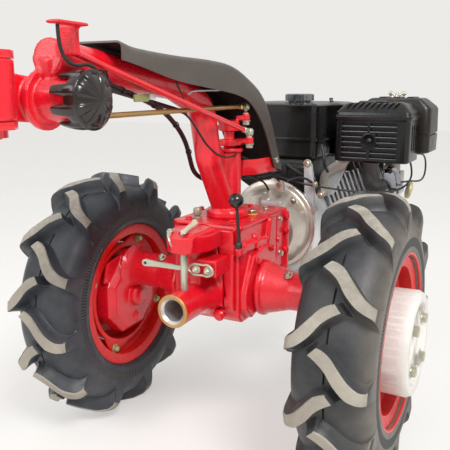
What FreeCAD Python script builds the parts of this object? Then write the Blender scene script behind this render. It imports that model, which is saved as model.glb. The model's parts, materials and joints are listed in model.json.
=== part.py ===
import FreeCAD, Part
import math
import os

import Sketcher

# Walking tractor: two driven wheels, a gearbox with portal final drives, an engine
# ahead of the axle, a steering column and a handlebar behind it.
# Frame: X forward, Y to the left, Z up, millimetres, floor at Z = 0.

# Driving sizes: name, number and what it measures
SIZES = (
    ("half_track", "319", "middle plane to a wheel's middle plane"),
    ("tyre_radius", "290", "radius over the lugs"),
    ("carcass_radius", "263", "radius of the tyre between the lugs"),
    ("tyre_half", "75", "half width of the tyre's section"),
    ("tyre_wall", "9", "thickness of the carcass"),
    ("lug_count", "12", "lugs on each side of a tyre"),
    ("lug_foot", "222", "radius where a lug leaves the shoulder"),
    ("rim_seat", "152", "radius of the bead seat"),
    ("rim_lip", "171", "radius of the rim's lip"),
    ("rim_half", "65", "half width over the lips"),
    ("rim_well", "128", "radius of the rim's well"),
    ("rim_wall", "4", "thickness of the rim"),
    ("disc_wall", "6", "thickness of the wheel disc"),
    ("disc_edge", "121", "radius of the disc's rim between its ears"),
    ("disc_inset", "43", "wheel's middle plane to the disc's ears"),
    ("disc_offset", "1", "wheel's middle plane to the hub's seat for the disc"),
    ("ear_count", "4", "ears of the disc, bolted to the rim"),
    ("ear_reach", "146", "radius of the ears' tips"),
    ("hub_bore", "24", "radius of the disc's centre hole"),
    ("hub_flange", "60", "radius of the hub's flange"),
    ("shaft_radius", "20", "radius of the output shaft"),
    ("weight_radius", "105", "radius of the wheel weight"),
    ("weight_width", "97", "width of the wheel weight"),
    ("axle_rise", "68", "axle tube above the wheel's centre"),
    ("tube_radius", "40", "radius of the axle tube"),
    ("case_half", "78", "half width of the gearbox case"),
    ("case_rear", "92", "axle line to the case's rear face"),
    ("case_front", "100", "axle line to the joint with the front case"),
    ("case_top", "508", "height of the case's top face"),
    ("case_bottom", "298", "height of the case's lower face"),
    ("drive_near", "250", "middle plane to the final drive's inner face"),
    ("drive_width", "48", "width of the final drive"),
    ("drive_small", "80", "corner radius of the final drive's inner face"),
    ("drive_large", "96", "corner radius of the final drive's body"),
    ("bell_rear", "158", "axle line to the clutch housing's rear face"),
    ("bell_length", "108", "length of the clutch housing"),
    ("bell_radius", "115", "radius of the clutch housing's engine flange"),
    ("crank_height", "440", "height of the crankshaft"),
    ("engine_base", "307", "height of the engine's feet"),
    ("engine_top", "520", "height of the crankcase's top"),
    ("engine_length", "279", "length of the crankcase"),
    ("engine_half", "105", "half width of the crankcase"),
    ("starter_depth", "80", "depth of the recoil starter"),
    ("cylinder_x", "436", "axle line to the cylinder's axis"),
    ("cylinder_lean", "22", "degrees from level to the cylinder's axis"),
    ("fin_count", "9", "cooling fins"),
    ("tank_top", "745", "height of the fuel tank's top"),
    ("tank_base", "600", "height of the fuel tank's lower face"),
    ("column_radius", "27", "radius of the column's leaning tube"),
    ("post_radius", "26", "radius of the upright post"),
    ("post_x", "14", "axle line to the upright post"),
    ("post_top", "646", "height of the post's top"),
    ("shield_half", "55", "half width of the shield"),
    ("shield_wall", "3", "thickness of the shield"),
    ("hinge_x", "515", "axle line back to the height hinge"),
    ("hinge_z", "762", "height of the height hinge"),
    ("pivot_run", "113", "height hinge back to the swing pivot"),
    ("pivot_low", "737", "height of the swing sleeve's lower face"),
    ("pivot_high", "813", "height of the swing sleeve's upper face"),
    ("pin_radius", "12", "radius of the swing pin"),
    ("stem_run", "237", "swing pivot back to the end of the stem"),
    ("side_run", "125", "stem back to the start of the level grips"),
    ("grip_run", "175", "length of the level part of the bars"),
    ("bar_radius", "14", "radius of the handlebar's side tubes"),
    ("stem_radius", "21", "radius of the handlebar's stem"),
    ("grip_wall", "3", "thickness of a grip"),
    ("grip_half", "310", "middle plane to a grip"),
    ("grip_top", "1053", "height of the grips' centre line"),
    ("hitch_reach", "134", "case's rear face to the hitch socket's mouth"),
    ("hitch_bore", "22", "radius of the hitch socket's bore"),
    ("hitch_radius", "33", "radius of the hitch socket"),
    ("hitch_pin", "7", "radius of the hitch pin"),
    ("stand_x", "490", "axle line to the stand's hinge"),
    ("stand_z", "272", "height of the stand's hinge"),
    ("stand_radius", "13", "radius of the stand's leg"),
    ("stand_rake", "14", "foot ahead of the stand's hinge"),
    ("cable", "2.5", "radius of the throttle cable"),
    ("bundle", "4.5", "radius of the cable bundle"),
    ("fit", "0.05", "radial running clearance"),
    ("seat", "0.3", "gap at a seat between two pieces"),
)

doc = FreeCAD.newDocument("walking_tractor")
sheet = doc.addObject("Spreadsheet::Sheet", "sizes")
for row, (alias, number, meaning) in enumerate(SIZES, start=1):
    sheet.set(f"A{row}", meaning)
    sheet.set(f"B{row}", number)
    sheet.setAlias(f"B{row}", alias)
doc.recompute()


class Size:
    """A number together with the formula that ties it to the sheet."""

    def __init__(self, number, formula):
        self.number = number
        self.formula = formula

    def __add__(self, other):
        other = size(other)
        return Size(self.number + other.number, f"({self.formula} + {other.formula})")

    def __radd__(self, other):
        return size(other) + self

    def __sub__(self, other):
        other = size(other)
        return Size(self.number - other.number, f"({self.formula} - {other.formula})")

    def __rsub__(self, other):
        return size(other) - self

    def __mul__(self, other):
        other = size(other)
        return Size(self.number * other.number, f"({self.formula} * {other.formula})")

    def __rmul__(self, other):
        return size(other) * self

    def __truediv__(self, other):
        other = size(other)
        return Size(self.number / other.number, f"({self.formula} / {other.formula})")

    def __neg__(self):
        return Size(-self.number, f"(0 - {self.formula})")


def size(value):
    """The value as a Size."""
    if isinstance(value, Size):
        return value
    return Size(float(value), repr(float(value)))


def named(alias):
    return Size(float(sheet.get(alias)), f"sizes.{alias}")


S = {alias: named(alias) for alias, number, meaning in SIZES}

# Places that follow from the driving sizes, forward of the axle line and up from the floor
BELL_FRONT = S["bell_rear"] + S["bell_length"]
ENGINE_FRONT = BELL_FRONT + S["engine_length"]
FRONT_REACH = ENGINE_FRONT + S["starter_depth"]
PIVOT_X = S["hinge_x"] + S["pivot_run"]
STEM_X = PIVOT_X + S["stem_run"]
REAR_REACH = STEM_X + S["side_run"] + S["grip_run"]
AXLE_X = (REAR_REACH - FRONT_REACH) / 2
WHEEL_Z = S["tyre_radius"]
TUBE_Z = WHEEL_Z + S["axle_rise"]
CRANK_Z = S["crank_height"]
DRIVE_FAR = S["drive_near"] + S["drive_width"]
HUB_FACE = S["half_track"] + S["disc_offset"]
WEIGHT_BACK = HUB_FACE + S["disc_wall"]
MOUTH_X = S["case_rear"] + S["hitch_reach"]

# How a piece's own axes lie in the tractor's frame: an outline's first and second
# axis, and the direction in which it is thickened
VIEWS = {
    "plan": FreeCAD.Rotation(),
    "rear": FreeCAD.Rotation(FreeCAD.Vector(1, 1, 1), 120),
    "side": FreeCAD.Rotation(FreeCAD.Vector(1, 0, 0), 90),
    "left": FreeCAD.Rotation(FreeCAD.Vector(1, 0, 0), -90),
}


def at(x, y, z):
    """A place given by its distance ahead of the axle line, its side and its height."""
    return (AXLE_X + x, size(y), size(z))


def place(thing, base, rotation=VIEWS["plan"]):
    base = [size(value) for value in base]
    thing.Placement = FreeCAD.Placement(FreeCAD.Vector(*[v.number for v in base]), rotation)
    for letter, value in zip("xyz", base):
        thing.setExpression(f"Placement.Base.{letter}", value.formula)
    return thing


def bind(thing, **values):
    """Set the properties to the values, tied to the sheet."""
    for name, value in values.items():
        value = size(value)
        setattr(thing, name, value.number)
        thing.setExpression(name, value.formula)
    return thing


def new(kind, name):
    thing = doc.addObject(kind, name)
    thing.Label = name
    return thing


def new_body(name, base, view="plan"):
    return place(new("PartDesign::Body", name), base, VIEWS[view])


def origin_feature(body, role):
    return next(f for f in body.Origin.OriginFeatures if f.Role == role)


def draw(body, outlines, start=0, role="XY_Plane"):
    """A sketch of closed outlines, each a list of points or a (x, y, radius) circle."""
    sketch = body.newObject("Sketcher::SketchObject", f"{body.Name}_sketch")
    sketch.AttachmentSupport = [(origin_feature(body, role), "")]
    sketch.MapMode = "FlatFace"
    start = size(start)
    sketch.AttachmentOffset = FreeCAD.Placement(
        FreeCAD.Vector(0, 0, start.number), FreeCAD.Rotation()
    )
    sketch.setExpression("AttachmentOffset.Base.z", start.formula)
    for outline in outlines:
        if isinstance(outline, tuple):
            draw_circle(sketch, *[size(value) for value in outline])
        else:
            draw_polygon(sketch, [(size(x), size(y)) for x, y in outline])
    return sketch


def draw_circle(sketch, x, y, radius):
    middle = FreeCAD.Vector(x.number, y.number, 0)
    index = sketch.addGeometry(Part.Circle(middle, FreeCAD.Vector(0, 0, 1), radius.number), False)
    rules = (
        ("DistanceX", -1, 1, index, 3, x),
        ("DistanceY", -1, 1, index, 3, y),
    )
    for kind, *ends, value in rules:
        rule = sketch.addConstraint(Sketcher.Constraint(kind, *ends, value.number))
        sketch.setExpression(f"Constraints[{rule}]", value.formula)
    rule = sketch.addConstraint(Sketcher.Constraint("Radius", index, radius.number))
    sketch.setExpression(f"Constraints[{rule}]", radius.formula)


def draw_polygon(sketch, points):
    count = len(points)
    corners = [FreeCAD.Vector(x.number, y.number, 0) for x, y in points]
    sides = [Part.LineSegment(corners[i], corners[(i + 1) % count]) for i in range(count)]
    first = sketch.GeometryCount
    sketch.addGeometry(sides, False)
    joints = [
        Sketcher.Constraint("Coincident", first + i, 2, first + (i + 1) % count, 1)
        for i in range(count)
    ]
    sketch.addConstraint(joints)
    for i, point in enumerate(points):
        for kind, value in zip(("DistanceX", "DistanceY"), point):
            rule = sketch.addConstraint(
                Sketcher.Constraint(kind, -1, 1, first + i, 1, value.number)
            )
            sketch.setExpression(f"Constraints[{rule}]", value.formula)


def pad(body, outlines, length, start=0, role="XY_Plane"):
    feature = body.newObject("PartDesign::Pad", f"{body.Name}_pad")
    feature.Profile = draw(body, outlines, start, role)
    bind(feature, Length=length)
    return feature


def pocket(body, outlines, depth, start=0, role="XY_Plane"):
    """Cut upward from the start height, along the body's own third axis."""
    feature = body.newObject("PartDesign::Pocket", f"{body.Name}_pocket")
    feature.Profile = draw(body, outlines, start, role)
    feature.Reversed = True
    bind(feature, Length=depth)
    return feature


def turn(body, outline, kind="Revolution"):
    """Turn an outline of (radius, height) points about the body's own third axis."""
    feature = body.newObject(f"PartDesign::{kind}", f"{body.Name}_turn")
    sketch = draw(body, [outline], 0, "XZ_Plane")
    feature.Profile = sketch
    feature.ReferenceAxis = (sketch, ["V_Axis"])
    feature.Angle = 360
    return feature


def loft(body, sections):
    """Loft through (height, outline) sections."""
    feature = body.newObject("PartDesign::AdditiveLoft", f"{body.Name}_loft")
    (first_height, first), *others = sections
    feature.Profile = draw(body, [first], first_height)
    feature.Sections = [draw(body, [outline], height) for height, outline in others]
    feature.Ruled = True
    return feature


def around(body, feature, count):
    """Repeat a feature evenly about the body's own third axis."""
    pattern = body.newObject("PartDesign::PolarPattern", f"{body.Name}_pattern")
    pattern.Originals = [feature]
    pattern.Axis = (origin_feature(body, "Z_Axis"), [""])
    pattern.Angle = 360
    pattern.Occurrences = int(count.number)
    pattern.setExpression("Occurrences", count.formula)
    body.Tip = pattern
    return pattern


def round_off(body, radius, choose):
    """Round the edges of the body's last feature that the test chooses."""
    doc.recompute()
    last = body.Tip
    names = [f"Edge{i}" for i, edge in enumerate(last.Shape.Edges, start=1) if choose(edge)]
    feature = body.newObject("PartDesign::Fillet", f"{body.Name}_round")
    feature.Base = (last, names)
    bind(feature, Radius=radius)
    return feature


def upright(edge):
    """A straight edge along the body's own third axis."""
    if not isinstance(edge.Curve, Part.Line):
        return False
    return abs(edge.tangentAt(edge.FirstParameter).z) > 0.999


def slab(name, view, base, outline, thickness, corner=None):
    """A plate: an outline thickened along the view's third axis, its corners rounded."""
    body = new_body(name, base, view)
    pad(body, [outline], thickness)
    if corner:
        round_off(body, corner, upright)
    return body


def turned(name, view, base, outline):
    body = new_body(name, base, view)
    turn(body, outline)
    return body


def box(name, low, high):
    """A block between two opposite corners."""
    low = [size(value) for value in low]
    sides = [size(top) - bottom for bottom, top in zip(low, high)]
    return place(bind(new("Part::Box", name), **dict(zip(("Length", "Width", "Height"), sides))), low)


def bar(name, base, radius, length, view="plan"):
    """A round bar along the view's third axis."""
    return place(bind(new("Part::Cylinder", name), Radius=radius, Height=length), base, VIEWS[view])


def rod(name, start, end, radius):
    """A round bar from one point to another."""
    start = [size(value) for value in start]
    end = [size(value) for value in end]
    way = FreeCAD.Vector(*[b.number - a.number for a, b in zip(start, end)])
    thing = bind(new("Part::Cylinder", name), Radius=radius, Height=way.Length)
    return place(thing, start, FreeCAD.Rotation(FreeCAD.Vector(0, 0, 1), way))


def ball(name, middle, radius):
    return place(bind(new("Part::Sphere", name), Radius=radius), middle, VIEWS["side"])


def fused(name, pieces, refine=True):
    thing = new("Part::MultiFuse", name)
    thing.Shapes = pieces
    thing.Refine = refine
    return thing


def cut(name, base, tools):
    thing = new("Part::Cut", name)
    thing.Base = base
    thing.Tool = tools[0] if len(tools) == 1 else fused(f"{name}_tools", tools)
    return thing


def mirrored(name, source):
    """The same piece on the right-hand side."""
    thing = new("Part::Mirroring", name)
    thing.Source = source
    thing.Normal = FreeCAD.Vector(0, 1, 0)
    thing.Base = FreeCAD.Vector(0, 0, 0)
    return thing


def rectangle(x, y, length, width):
    """A rectangle's corners, from its middle."""
    length, width = size(length) / 2, size(width) / 2
    x, y = size(x), size(y)
    return [(x - length, y - width), (x + length, y - width),
            (x + length, y + width), (x - length, y + width)]


def spun(points, degrees):
    """Points of (radius, side) turned about the origin."""
    cosine, sine = math.cos(math.radians(degrees)), math.sin(math.radians(degrees))
    return [(size(x) * cosine - size(y) * sine, size(x) * sine + size(y) * cosine) for x, y in points]


def band(line, thickness):
    """An open line of points made into a closed strip, thickened to its right."""
    line = [(size(x).number, size(y).number) for x, y in line]
    ways = [math.atan2(b[1] - a[1], b[0] - a[0]) for a, b in zip(line, line[1:])]
    ways = [ways[0]] + ways + [ways[-1]]
    far = []
    for (x, y), before, after in zip(line, ways, ways[1:]):
        middle = (before + after) / 2
        reach = size(thickness).number / math.cos((after - before) / 2)
        far.append((x + reach * math.sin(middle), y - reach * math.cos(middle)))
    return line + far[::-1]


def bent_path(points, bends=None):
    """Straight runs joined by tangent arcs, and the arcs' radii."""
    points = [FreeCAD.Vector(*[size(value).number for value in point]) for point in points]
    edges = []
    radii = []
    here = points[0]
    for before, corner, after in zip(points, points[1:], points[2:]):
        back = (before - corner).normalize()
        on = (after - corner).normalize()
        half = (math.pi - back.getAngle(on)) / 2
        shorter = min((before - corner).Length, (after - corner).Length)
        radius = bends or 0.45 * shorter / math.tan(half)
        reach = radius * math.tan(half)
        start = corner + back * reach
        end = corner + on * reach
        middle_way = (back + on).normalize()
        middle = corner + middle_way * (radius / math.cos(half) - radius)
        edges.append(Part.LineSegment(here, start).toShape())
        edges.append(Part.Arc(start, middle, end).toShape())
        radii.append(radius)
        here = end
    edges.append(Part.LineSegment(here, points[-1]).toShape())
    return Part.Wire(edges), radii


def tube(name, points, radius, bends=None):
    """A round bar along a bent path: a bent tube, or a cord's lie."""
    wire, radii = bent_path(points, bends)
    start = wire.Edges[0].valueAt(wire.Edges[0].FirstParameter)
    way = wire.Edges[0].tangentAt(wire.Edges[0].FirstParameter)
    ring = Part.Wire(Part.Circle(start, way, size(radius).number).toShape())
    thing = new("Part::Feature", name)
    thing.Shape = wire.makePipeShell([ring], True, False)
    if bends is None:
        section = math.pi * size(radius).number ** 2
        print(f"{name}: volume / (section x length) {thing.Shape.Volume / (section * wire.Length):.4f},"
              f" bends {min(radii):.0f} to {max(radii):.0f} mm")
    return thing


parts = {}


def keep(name, thing):
    """Count the thing as a piece of the tractor, under its name."""
    thing.Label = name
    parts[name] = thing
    return thing


# Wheels. Lug outline: (back from the nose along the tread, out from the middle plane)
LUG = (
    (15, -24), (0, -10), (9, 12), (51, 48), (72, 84), (93, 84), (78, 42), (40, 9),
)
TYRE_FACETS = 24
EAR_TURN = -68
LEFT_TYRE_TURN = 6.7


def both_sides(half):
    return half + [(radius, -height) for radius, height in reversed(half)]


def faceted_ring(outline):
    """An outline of (radius, height) points carried round the third axis in steps."""
    step = 2 * math.pi / TYRE_FACETS
    outline = [(size(radius).number, size(height).number) for radius, height in outline]
    turns = [
        [FreeCAD.Vector(radius * math.cos(step * turn), radius * math.sin(step * turn), height)
         for radius, height in outline]
        for turn in range(TYRE_FACETS + 1)
    ]
    faces = []
    for here, there in zip(turns, turns[1:]):
        for i in range(len(outline)):
            quad = [here[i - 1], here[i], there[i], there[i - 1]]
            faces.append(Part.Face(Part.makePolygon(quad + quad[:1])))
    shell = Part.makeShell(faces)
    shell.sewShape()
    solid = Part.makeSolid(shell)
    if solid.Volume < 0:
        solid.reverse()
    return solid


def tyre_section():
    """The carcass's outline: from the bead over the crown, and back inside."""
    flat = math.cos(math.pi / TYRE_FACETS)
    seat = (S["rim_seat"] + S["seat"]) / flat
    lip = (S["rim_lip"] + S["seat"]) / flat
    half, wide, crown = S["rim_half"], S["tyre_half"], S["carcass_radius"]
    wall = S["tyre_wall"]
    bead = half - 7.3
    outer = [
        (seat, bead), (lip, bead + 3), (lip + 29, wide - 1.5), (crown - 27, wide - 1),
        (crown - 6, wide - 20), (crown, 0),
    ]
    inner = [(seat, bead - wall), (crown - wall - 9, wide - 10 - wall)]
    outer += [(radius, -size(height)) for radius, height in reversed(outer[:-1])]
    return outer + [(radius, -size(height)) for radius, height in inner] + inner[::-1]


def tyres():
    """The right tyre, and the left one standing further round."""
    crown = S["tyre_radius"]
    foot = S["lug_foot"]
    wide = S["tyre_half"]
    envelope = faceted_ring(both_sides([
        (crown, 44), (crown - 9, wide - 13), (foot, wide + 2.5), (foot, wide - 7),
        (S["carcass_radius"] - 9, 30),
    ]))
    half_step = crown.number * math.pi / S["lug_count"].number
    turn_step = 360 / S["lug_count"].number
    middle, axis = FreeCAD.Vector(), FreeCAD.Vector(0, 0, 1)
    for name, hand, turned_by in (("tyre_left", 1, LEFT_TYRE_TURN), ("tyre_right", -1, 0)):
        lugs = []
        for side, lead in ((hand, half_step), (-hand, 0)):
            corners = [FreeCAD.Vector(lead - back, 0, side * out) for back, out in LUG]
            outline = Part.Face(Part.makePolygon(corners + corners[:1]))
            lug = outline.extrude(FreeCAD.Vector(0, -crown.number - 10, 0))
            lug.rotate(middle, axis, turned_by)
            lug = lug.common(envelope)
            for index in range(int(S["lug_count"].number)):
                copy = lug.copy()
                copy.rotate(middle, axis, index * turn_step)
                lugs.append(copy)
        body = new("Part::Feature", name)
        body.Shape = faceted_ring(tyre_section()).fuse(lugs)
        place(body, (AXLE_X, S["half_track"] * hand, WHEEL_Z), VIEWS["left"])
        keep(name, body)


def rim():
    """Drop-centre rim with the tabs that the disc's ears are bolted to."""
    seat, lip, half, well, wall = [
        S[name] for name in ("rim_seat", "rim_lip", "rim_half", "rim_well", "rim_wall")
    ]
    outer = [(lip, half), (lip, half - 4), (seat, half - 7), (seat, 36), (well, 22)]
    inner = [(well - wall, 21), (seat - wall, 35), (seat - wall, half - 4), (lip - wall - 1, half)]
    outline = outer + [(radius, -size(height)) for radius, height in reversed(outer)]
    outline += [(radius, -size(height)) for radius, height in reversed(inner)]
    outline += inner
    body = turned("rim_left", "left", (AXLE_X, S["half_track"], WHEEL_Z), outline)
    tab = rectangle((seat - wall + S["disc_edge"] + 6) / 2, 0, seat - wall - S["disc_edge"], 44)
    ear_face = S["disc_wall"] - S["disc_inset"]
    around(body, pad(body, [spun(tab, EAR_TURN)], 5, ear_face), S["ear_count"])
    return keep("rim_left", body)


def disc():
    """The dished disc, bolted by its ears to the rim and by its middle to the hub."""
    ears, wall, edge = -S["disc_inset"], S["disc_wall"], S["disc_edge"]
    seat = S["disc_offset"]
    bore = S["hub_bore"] + S["fit"]
    outline = [
        (edge + 4, ears), (edge + 4, ears + wall), (edge, ears + wall), (edge - 1, -5),
        (edge - 15, seat + wall),
        (bore, seat + wall), (bore, seat), (edge - 19, seat), (edge - 1 - wall, -9),
        (edge - wall, ears),
    ]
    body = turned("disc_left", "left", (AXLE_X, S["half_track"], WHEEL_Z), outline)
    ear = [(edge - 3, -48), (S["ear_reach"], -15), (S["ear_reach"], 15), (edge - 3, 48)]
    around(body, pad(body, [spun(ear, EAR_TURN)], wall, ears), S["ear_count"])
    return keep("disc_left", body)


def hub():
    """Output shaft and the flange that carries the disc."""
    flange, bore, shaft = S["hub_flange"], S["hub_bore"], S["shaft_radius"]
    depth = 14
    outline = [
        (0, DRIVE_FAR - depth), (shaft, DRIVE_FAR - depth), (shaft, DRIVE_FAR + 6),
        (flange - 12, DRIVE_FAR + 6),
        (flange, HUB_FACE - 8), (flange, HUB_FACE), (bore, HUB_FACE), (bore, HUB_FACE + 22),
        (bore - 5, HUB_FACE + 26), (0, HUB_FACE + 26),
    ]
    return keep("hub_left", turned("hub_left", "left", (AXLE_X, 0, WHEEL_Z), outline))


def weight():
    """Wheel weight: a drum with a dished outer face, bolted through the disc."""
    back, radius = WEIGHT_BACK, S["weight_radius"]
    face = back + S["weight_width"]
    bore = S["hub_bore"] + 16
    outline = [
        (bore, back), (radius - 10, back), (radius - 10, back + 6), (radius - 1, back + 16),
        (radius, face - 10), (radius - 5, face), (radius - 22, face), (radius - 30, face - 14),
        (bore, face - 14),
    ]
    return keep("weight_left", turned("weight_left", "left", (AXLE_X, 0, WHEEL_Z), outline))


# Gearbox: rear case, front case, axle tubes and final drives
CASE_FLANGE = 14
LEVER_FOOT = S["case_top"] - 42
CASE_LIP = 8
RIB = 12


def gearbox_case():
    """Main case with its cover plate, rear rib, side ridges and axle flanges."""
    half, low, top = S["case_half"], S["case_bottom"], S["case_top"]
    rear, front = -S["case_rear"], S["case_front"]
    body = new_body("case_body", (AXLE_X, half, 0), "side")
    profile = [
        (rear, low + 16), (rear + 16, low), (-46, low), (-16, low + 34), (front - 12, low + 34),
        (front, TUBE_Z + 12), (front, top - CASE_LIP), (rear, top - CASE_LIP),
    ]
    pad(body, [profile], half * 2)
    round_off(body, 9, upright)
    cover = [
        (rear - 3, -half + 8), (rear + 6, -half - 4), (front, -half - 4), (front, half + 4),
        (rear + 6, half + 4), (rear - 3, half - 8),
    ]
    lid = slab("case_lid", "plan", (AXLE_X, 0, top - CASE_LIP), cover, CASE_LIP, 3)
    rib_outline = [
        (-10, top - CASE_LIP), (-half + 8, top - CASE_LIP), (-half + 8, low + 42), (-56, low + 42),
        (-34, 466), (-10, 486),
    ]
    rib = slab("case_rib", "rear", (AXLE_X + rear - RIB, 0, 0), rib_outline, RIB + 1)
    foot = slab(
        "case_foot", "side", (AXLE_X, -half + 32, 0),
        [(rear - RIB, low + 60), (rear - RIB + 4, low + 34), (rear + 30, low), (rear + 30, low + 60)],
        24,
    )
    ledge = box("case_ledge", at(rear - 16, -half - 12, top - 58), at(rear + 12, -half + 4, LEVER_FOOT))
    end_boss = bar("case_end_boss", at(rear - 14, -38, low + 20), 10, 40, "rear")
    pieces = [body, lid, rib, foot, ledge, end_boss]
    flange = [
        (-48, 438), (8, 448), (50, 438), (72, 400), (74, 352), (56, 324), (-14, 316), (-58, 306),
        (-84, 330), (-86, 366),
    ]
    ridge = [(27, 440), (36, 438), (56, top - CASE_LIP), (42, top - CASE_LIP)]
    shelf = [(-78, 452), (26, 446), (30, 462), (-76, 470)]
    ribs = (("flange", flange, CASE_FLANGE), ("ridge", ridge, 12), ("shelf", shelf, 9))
    for name, outline, depth in ribs:
        right = slab(f"case_{name}", "side", (AXLE_X, -half + 1, 0), outline, depth + 1, 3)
        pieces += [right, mirrored(f"case_{name}_left", right)]
    # Screw bosses under the flange and at the foot: ahead, up, side of their near end, reach
    bosses = ((-48, 312, 60, 28), (30, 330, 60, 28), (-25, 458, 60, 30))
    for index, (x, z, near, reach) in enumerate(bosses):
        boss = bar(f"case_boss_{index}", at(x, near, z), 9, reach, "left")
        pieces += [boss, mirrored(f"case_boss_{index}_right", boss)]
    return keep("gearbox_case", fused("gearbox_case", pieces, refine=False))


def front_case():
    """Case between the gearbox and the clutch housing, with its bolted flange."""
    half = S["case_half"]
    rear, front = S["case_front"], S["bell_rear"]
    low, top, thick = TUBE_Z - 6, S["case_top"] - 1, 12
    body = new_body("front_case", (AXLE_X + rear, 0, 0), "rear")
    main = [
        (-half, low + 20), (-half + 20, low), (half - 20, low), (half, low + 20), (half, top),
        (-half, top),
    ]
    flange = [
        (-half - 8, low + 10), (-half + 14, low - 8), (half - 14, low - 8), (half + 8, low + 10),
        (half + 8, top - 10), (half - 2, top), (-half + 2, top), (-half - 8, top - 10),
    ]
    pad(body, [main], front - rear - thick)
    pad(body, [flange], thick, front - rear - thick)
    return keep("front_case", body)


def axle_tube():
    """Trumpet from the case's flange to the final drive."""
    start, end, radius = S["case_half"] + CASE_FLANGE, S["drive_near"], S["tube_radius"]
    outline = [
        (0, start), (radius + 20, start), (radius + 20, start + 12), (radius + 15, start + 14),
        (radius + 5, start + 50), (radius, start + 66), (radius, end), (0, end),
    ]
    return keep("axle_tube_left", turned("axle_tube_left", "left", (AXLE_X, 0, TUBE_Z), outline))


def octagon(radius, sides=8):
    step = 360 / sides
    return [
        (radius * math.cos(math.radians(step * (i + 0.5))),
         radius * math.sin(math.radians(step * (i + 0.5))))
        for i in range(sides)
    ]


def final_drive():
    """Eight-sided reduction case below the axle tube's end."""
    near, large, flare = S["drive_near"], S["drive_large"], 14
    body = new_body("drive_left_body", (AXLE_X, 0, WHEEL_Z), "left")
    loft(body, [(near, octagon(S["drive_small"])), (near + flare, octagon(large))])
    pad(body, [octagon(large)], DRIVE_FAR - near - flare, near + flare)
    pocket(body, [(size(0), size(0), S["shaft_radius"] + S["fit"])], 15, DRIVE_FAR - 15)
    lobe = bar("drive_left_lobe", (AXLE_X, near, TUBE_Z), S["tube_radius"] + 2, 30, "left")
    gusset = slab(
        "drive_left_gusset", "side", (AXLE_X, near + 24, 0),
        [(-96, WHEEL_Z + 46), (-80, WHEEL_Z + 92), (-20, TUBE_Z + 36), (-20, WHEEL_Z + 60)], 8, 3,
    )
    boss = turned(
        "drive_left_boss", "left", (AXLE_X, near - 24, WHEEL_Z),
        [(0, 0), (14, 0), (24, 6), (27, 14), (27, 26), (0, 26)],
    )
    plug = turned(
        "drive_left_plug", "left", (AXLE_X, near - 9, WHEEL_Z - 56),
        [(0, 0), (7, 0), (7, 5), (11, 5), (11, 10), (0, 10)],
    )
    return keep("final_drive_left", fused("final_drive_left", [body, lobe, gusset, boss, plug]))


def clutch_housing():
    """Cast bell between the front case and the engine."""
    rear, front, radius = S["bell_rear"], BELL_FRONT, S["bell_radius"]
    body = new_body("bell_body", (AXLE_X, 0, CRANK_Z), "rear")
    outline = [
        (0, rear), (radius - 54, rear), (radius - 50, rear + 10), (radius - 32, rear + 26),
        (radius - 20, rear + 60), (radius - 14, front - 16), (radius, front - 12), (radius, front),
        (0, front),
    ]
    turn(body, outline)
    rib = bind(new("Part::Box", "bell_rib"), Length=S["bell_length"] - 24, Width=8, Height=radius - 18)
    place(rib, (AXLE_X + rear + 14, -18, CRANK_Z))
    return keep("clutch_housing", fused("clutch_housing", [body, rib]))


# Engine
GUARD_X = 340
CLEANER_X = 466
LEAN = math.radians(S["cylinder_lean"].number)
OUT = FreeCAD.Vector(0, -math.cos(LEAN), math.sin(LEAN))
ACROSS = FreeCAD.Vector(0, math.sin(LEAN), math.cos(LEAN))
LEANING = FreeCAD.Rotation(FreeCAD.Vector(1, 0, 0), ACROSS, OUT, "ZXY")


def engine_block():
    """Crankcase with its cast ear, a plain block inside."""
    half, base, top = S["engine_half"], S["engine_base"], S["engine_top"]
    body = new_body("block_body", (AXLE_X + BELL_FRONT, 0, 0), "rear")
    outline = [
        (-half + 10, base), (half + 8, base), (half + 8, top - 50), (half - 24, top),
        (-half + 24, top), (-half + 10, top - 30), (-half, top - 60), (-half, base + 30),
    ]
    pad(body, [outline], S["engine_length"])
    ear = slab(
        "block_ear", "rear", (AXLE_X + BELL_FRONT + 6, 0, 0),
        [(-half + 26, top - 6), (-half + 4, top - 40), (-half + 2, top + 20), (-half + 12, top + 76),
         (-half + 20, top + 82), (-half + 30, top + 76)], 14,
    )
    return keep("engine_block", fused("engine_block", [body, ear]))


def leaning_box(name, start, tall, wide, deep):
    """A block on the cylinder's axis, from a distance out along it."""
    thing = bind(new("Part::Box", name), Length=wide, Width=deep, Height=tall)
    corner = OUT * size(start).number - ACROSS * (size(deep).number / 2)
    return place(thing, at(S["cylinder_x"] - size(wide) / 2, corner.y, CRANK_Z + corner.z), LEANING)


def cylinder(block):
    """Finned barrel and head, leaning out to the right."""
    head = 240
    pieces = [leaning_box("barrel", 100, 170, 84, 84), leaning_box("head", head, 30, 100, 92)]
    for index in range(int(S["fin_count"].number)):
        pieces.append(leaning_box(f"fin_{index}", 122 + 12 * index, 4, 120, 124))
    flank = slab(
        "barrel_flank", "rear", at(S["cylinder_x"] - 60, 0, 0),
        [(-95, 500), (-122, 510), (-157, 592), (-128, 594), (-95, 574)], 12,
    )
    return keep("cylinder", cut("cylinder", fused("cylinder_solid", pieces + [flank]), [block]))


def valve_cover():
    cover = leaning_box("cover_block", 270, 26, 92, 82)
    rim_block = leaning_box("cover_rim", 270, 5, 100, 90)
    return keep("valve_cover", fused("valve_cover", [cover, rim_block]))


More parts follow.
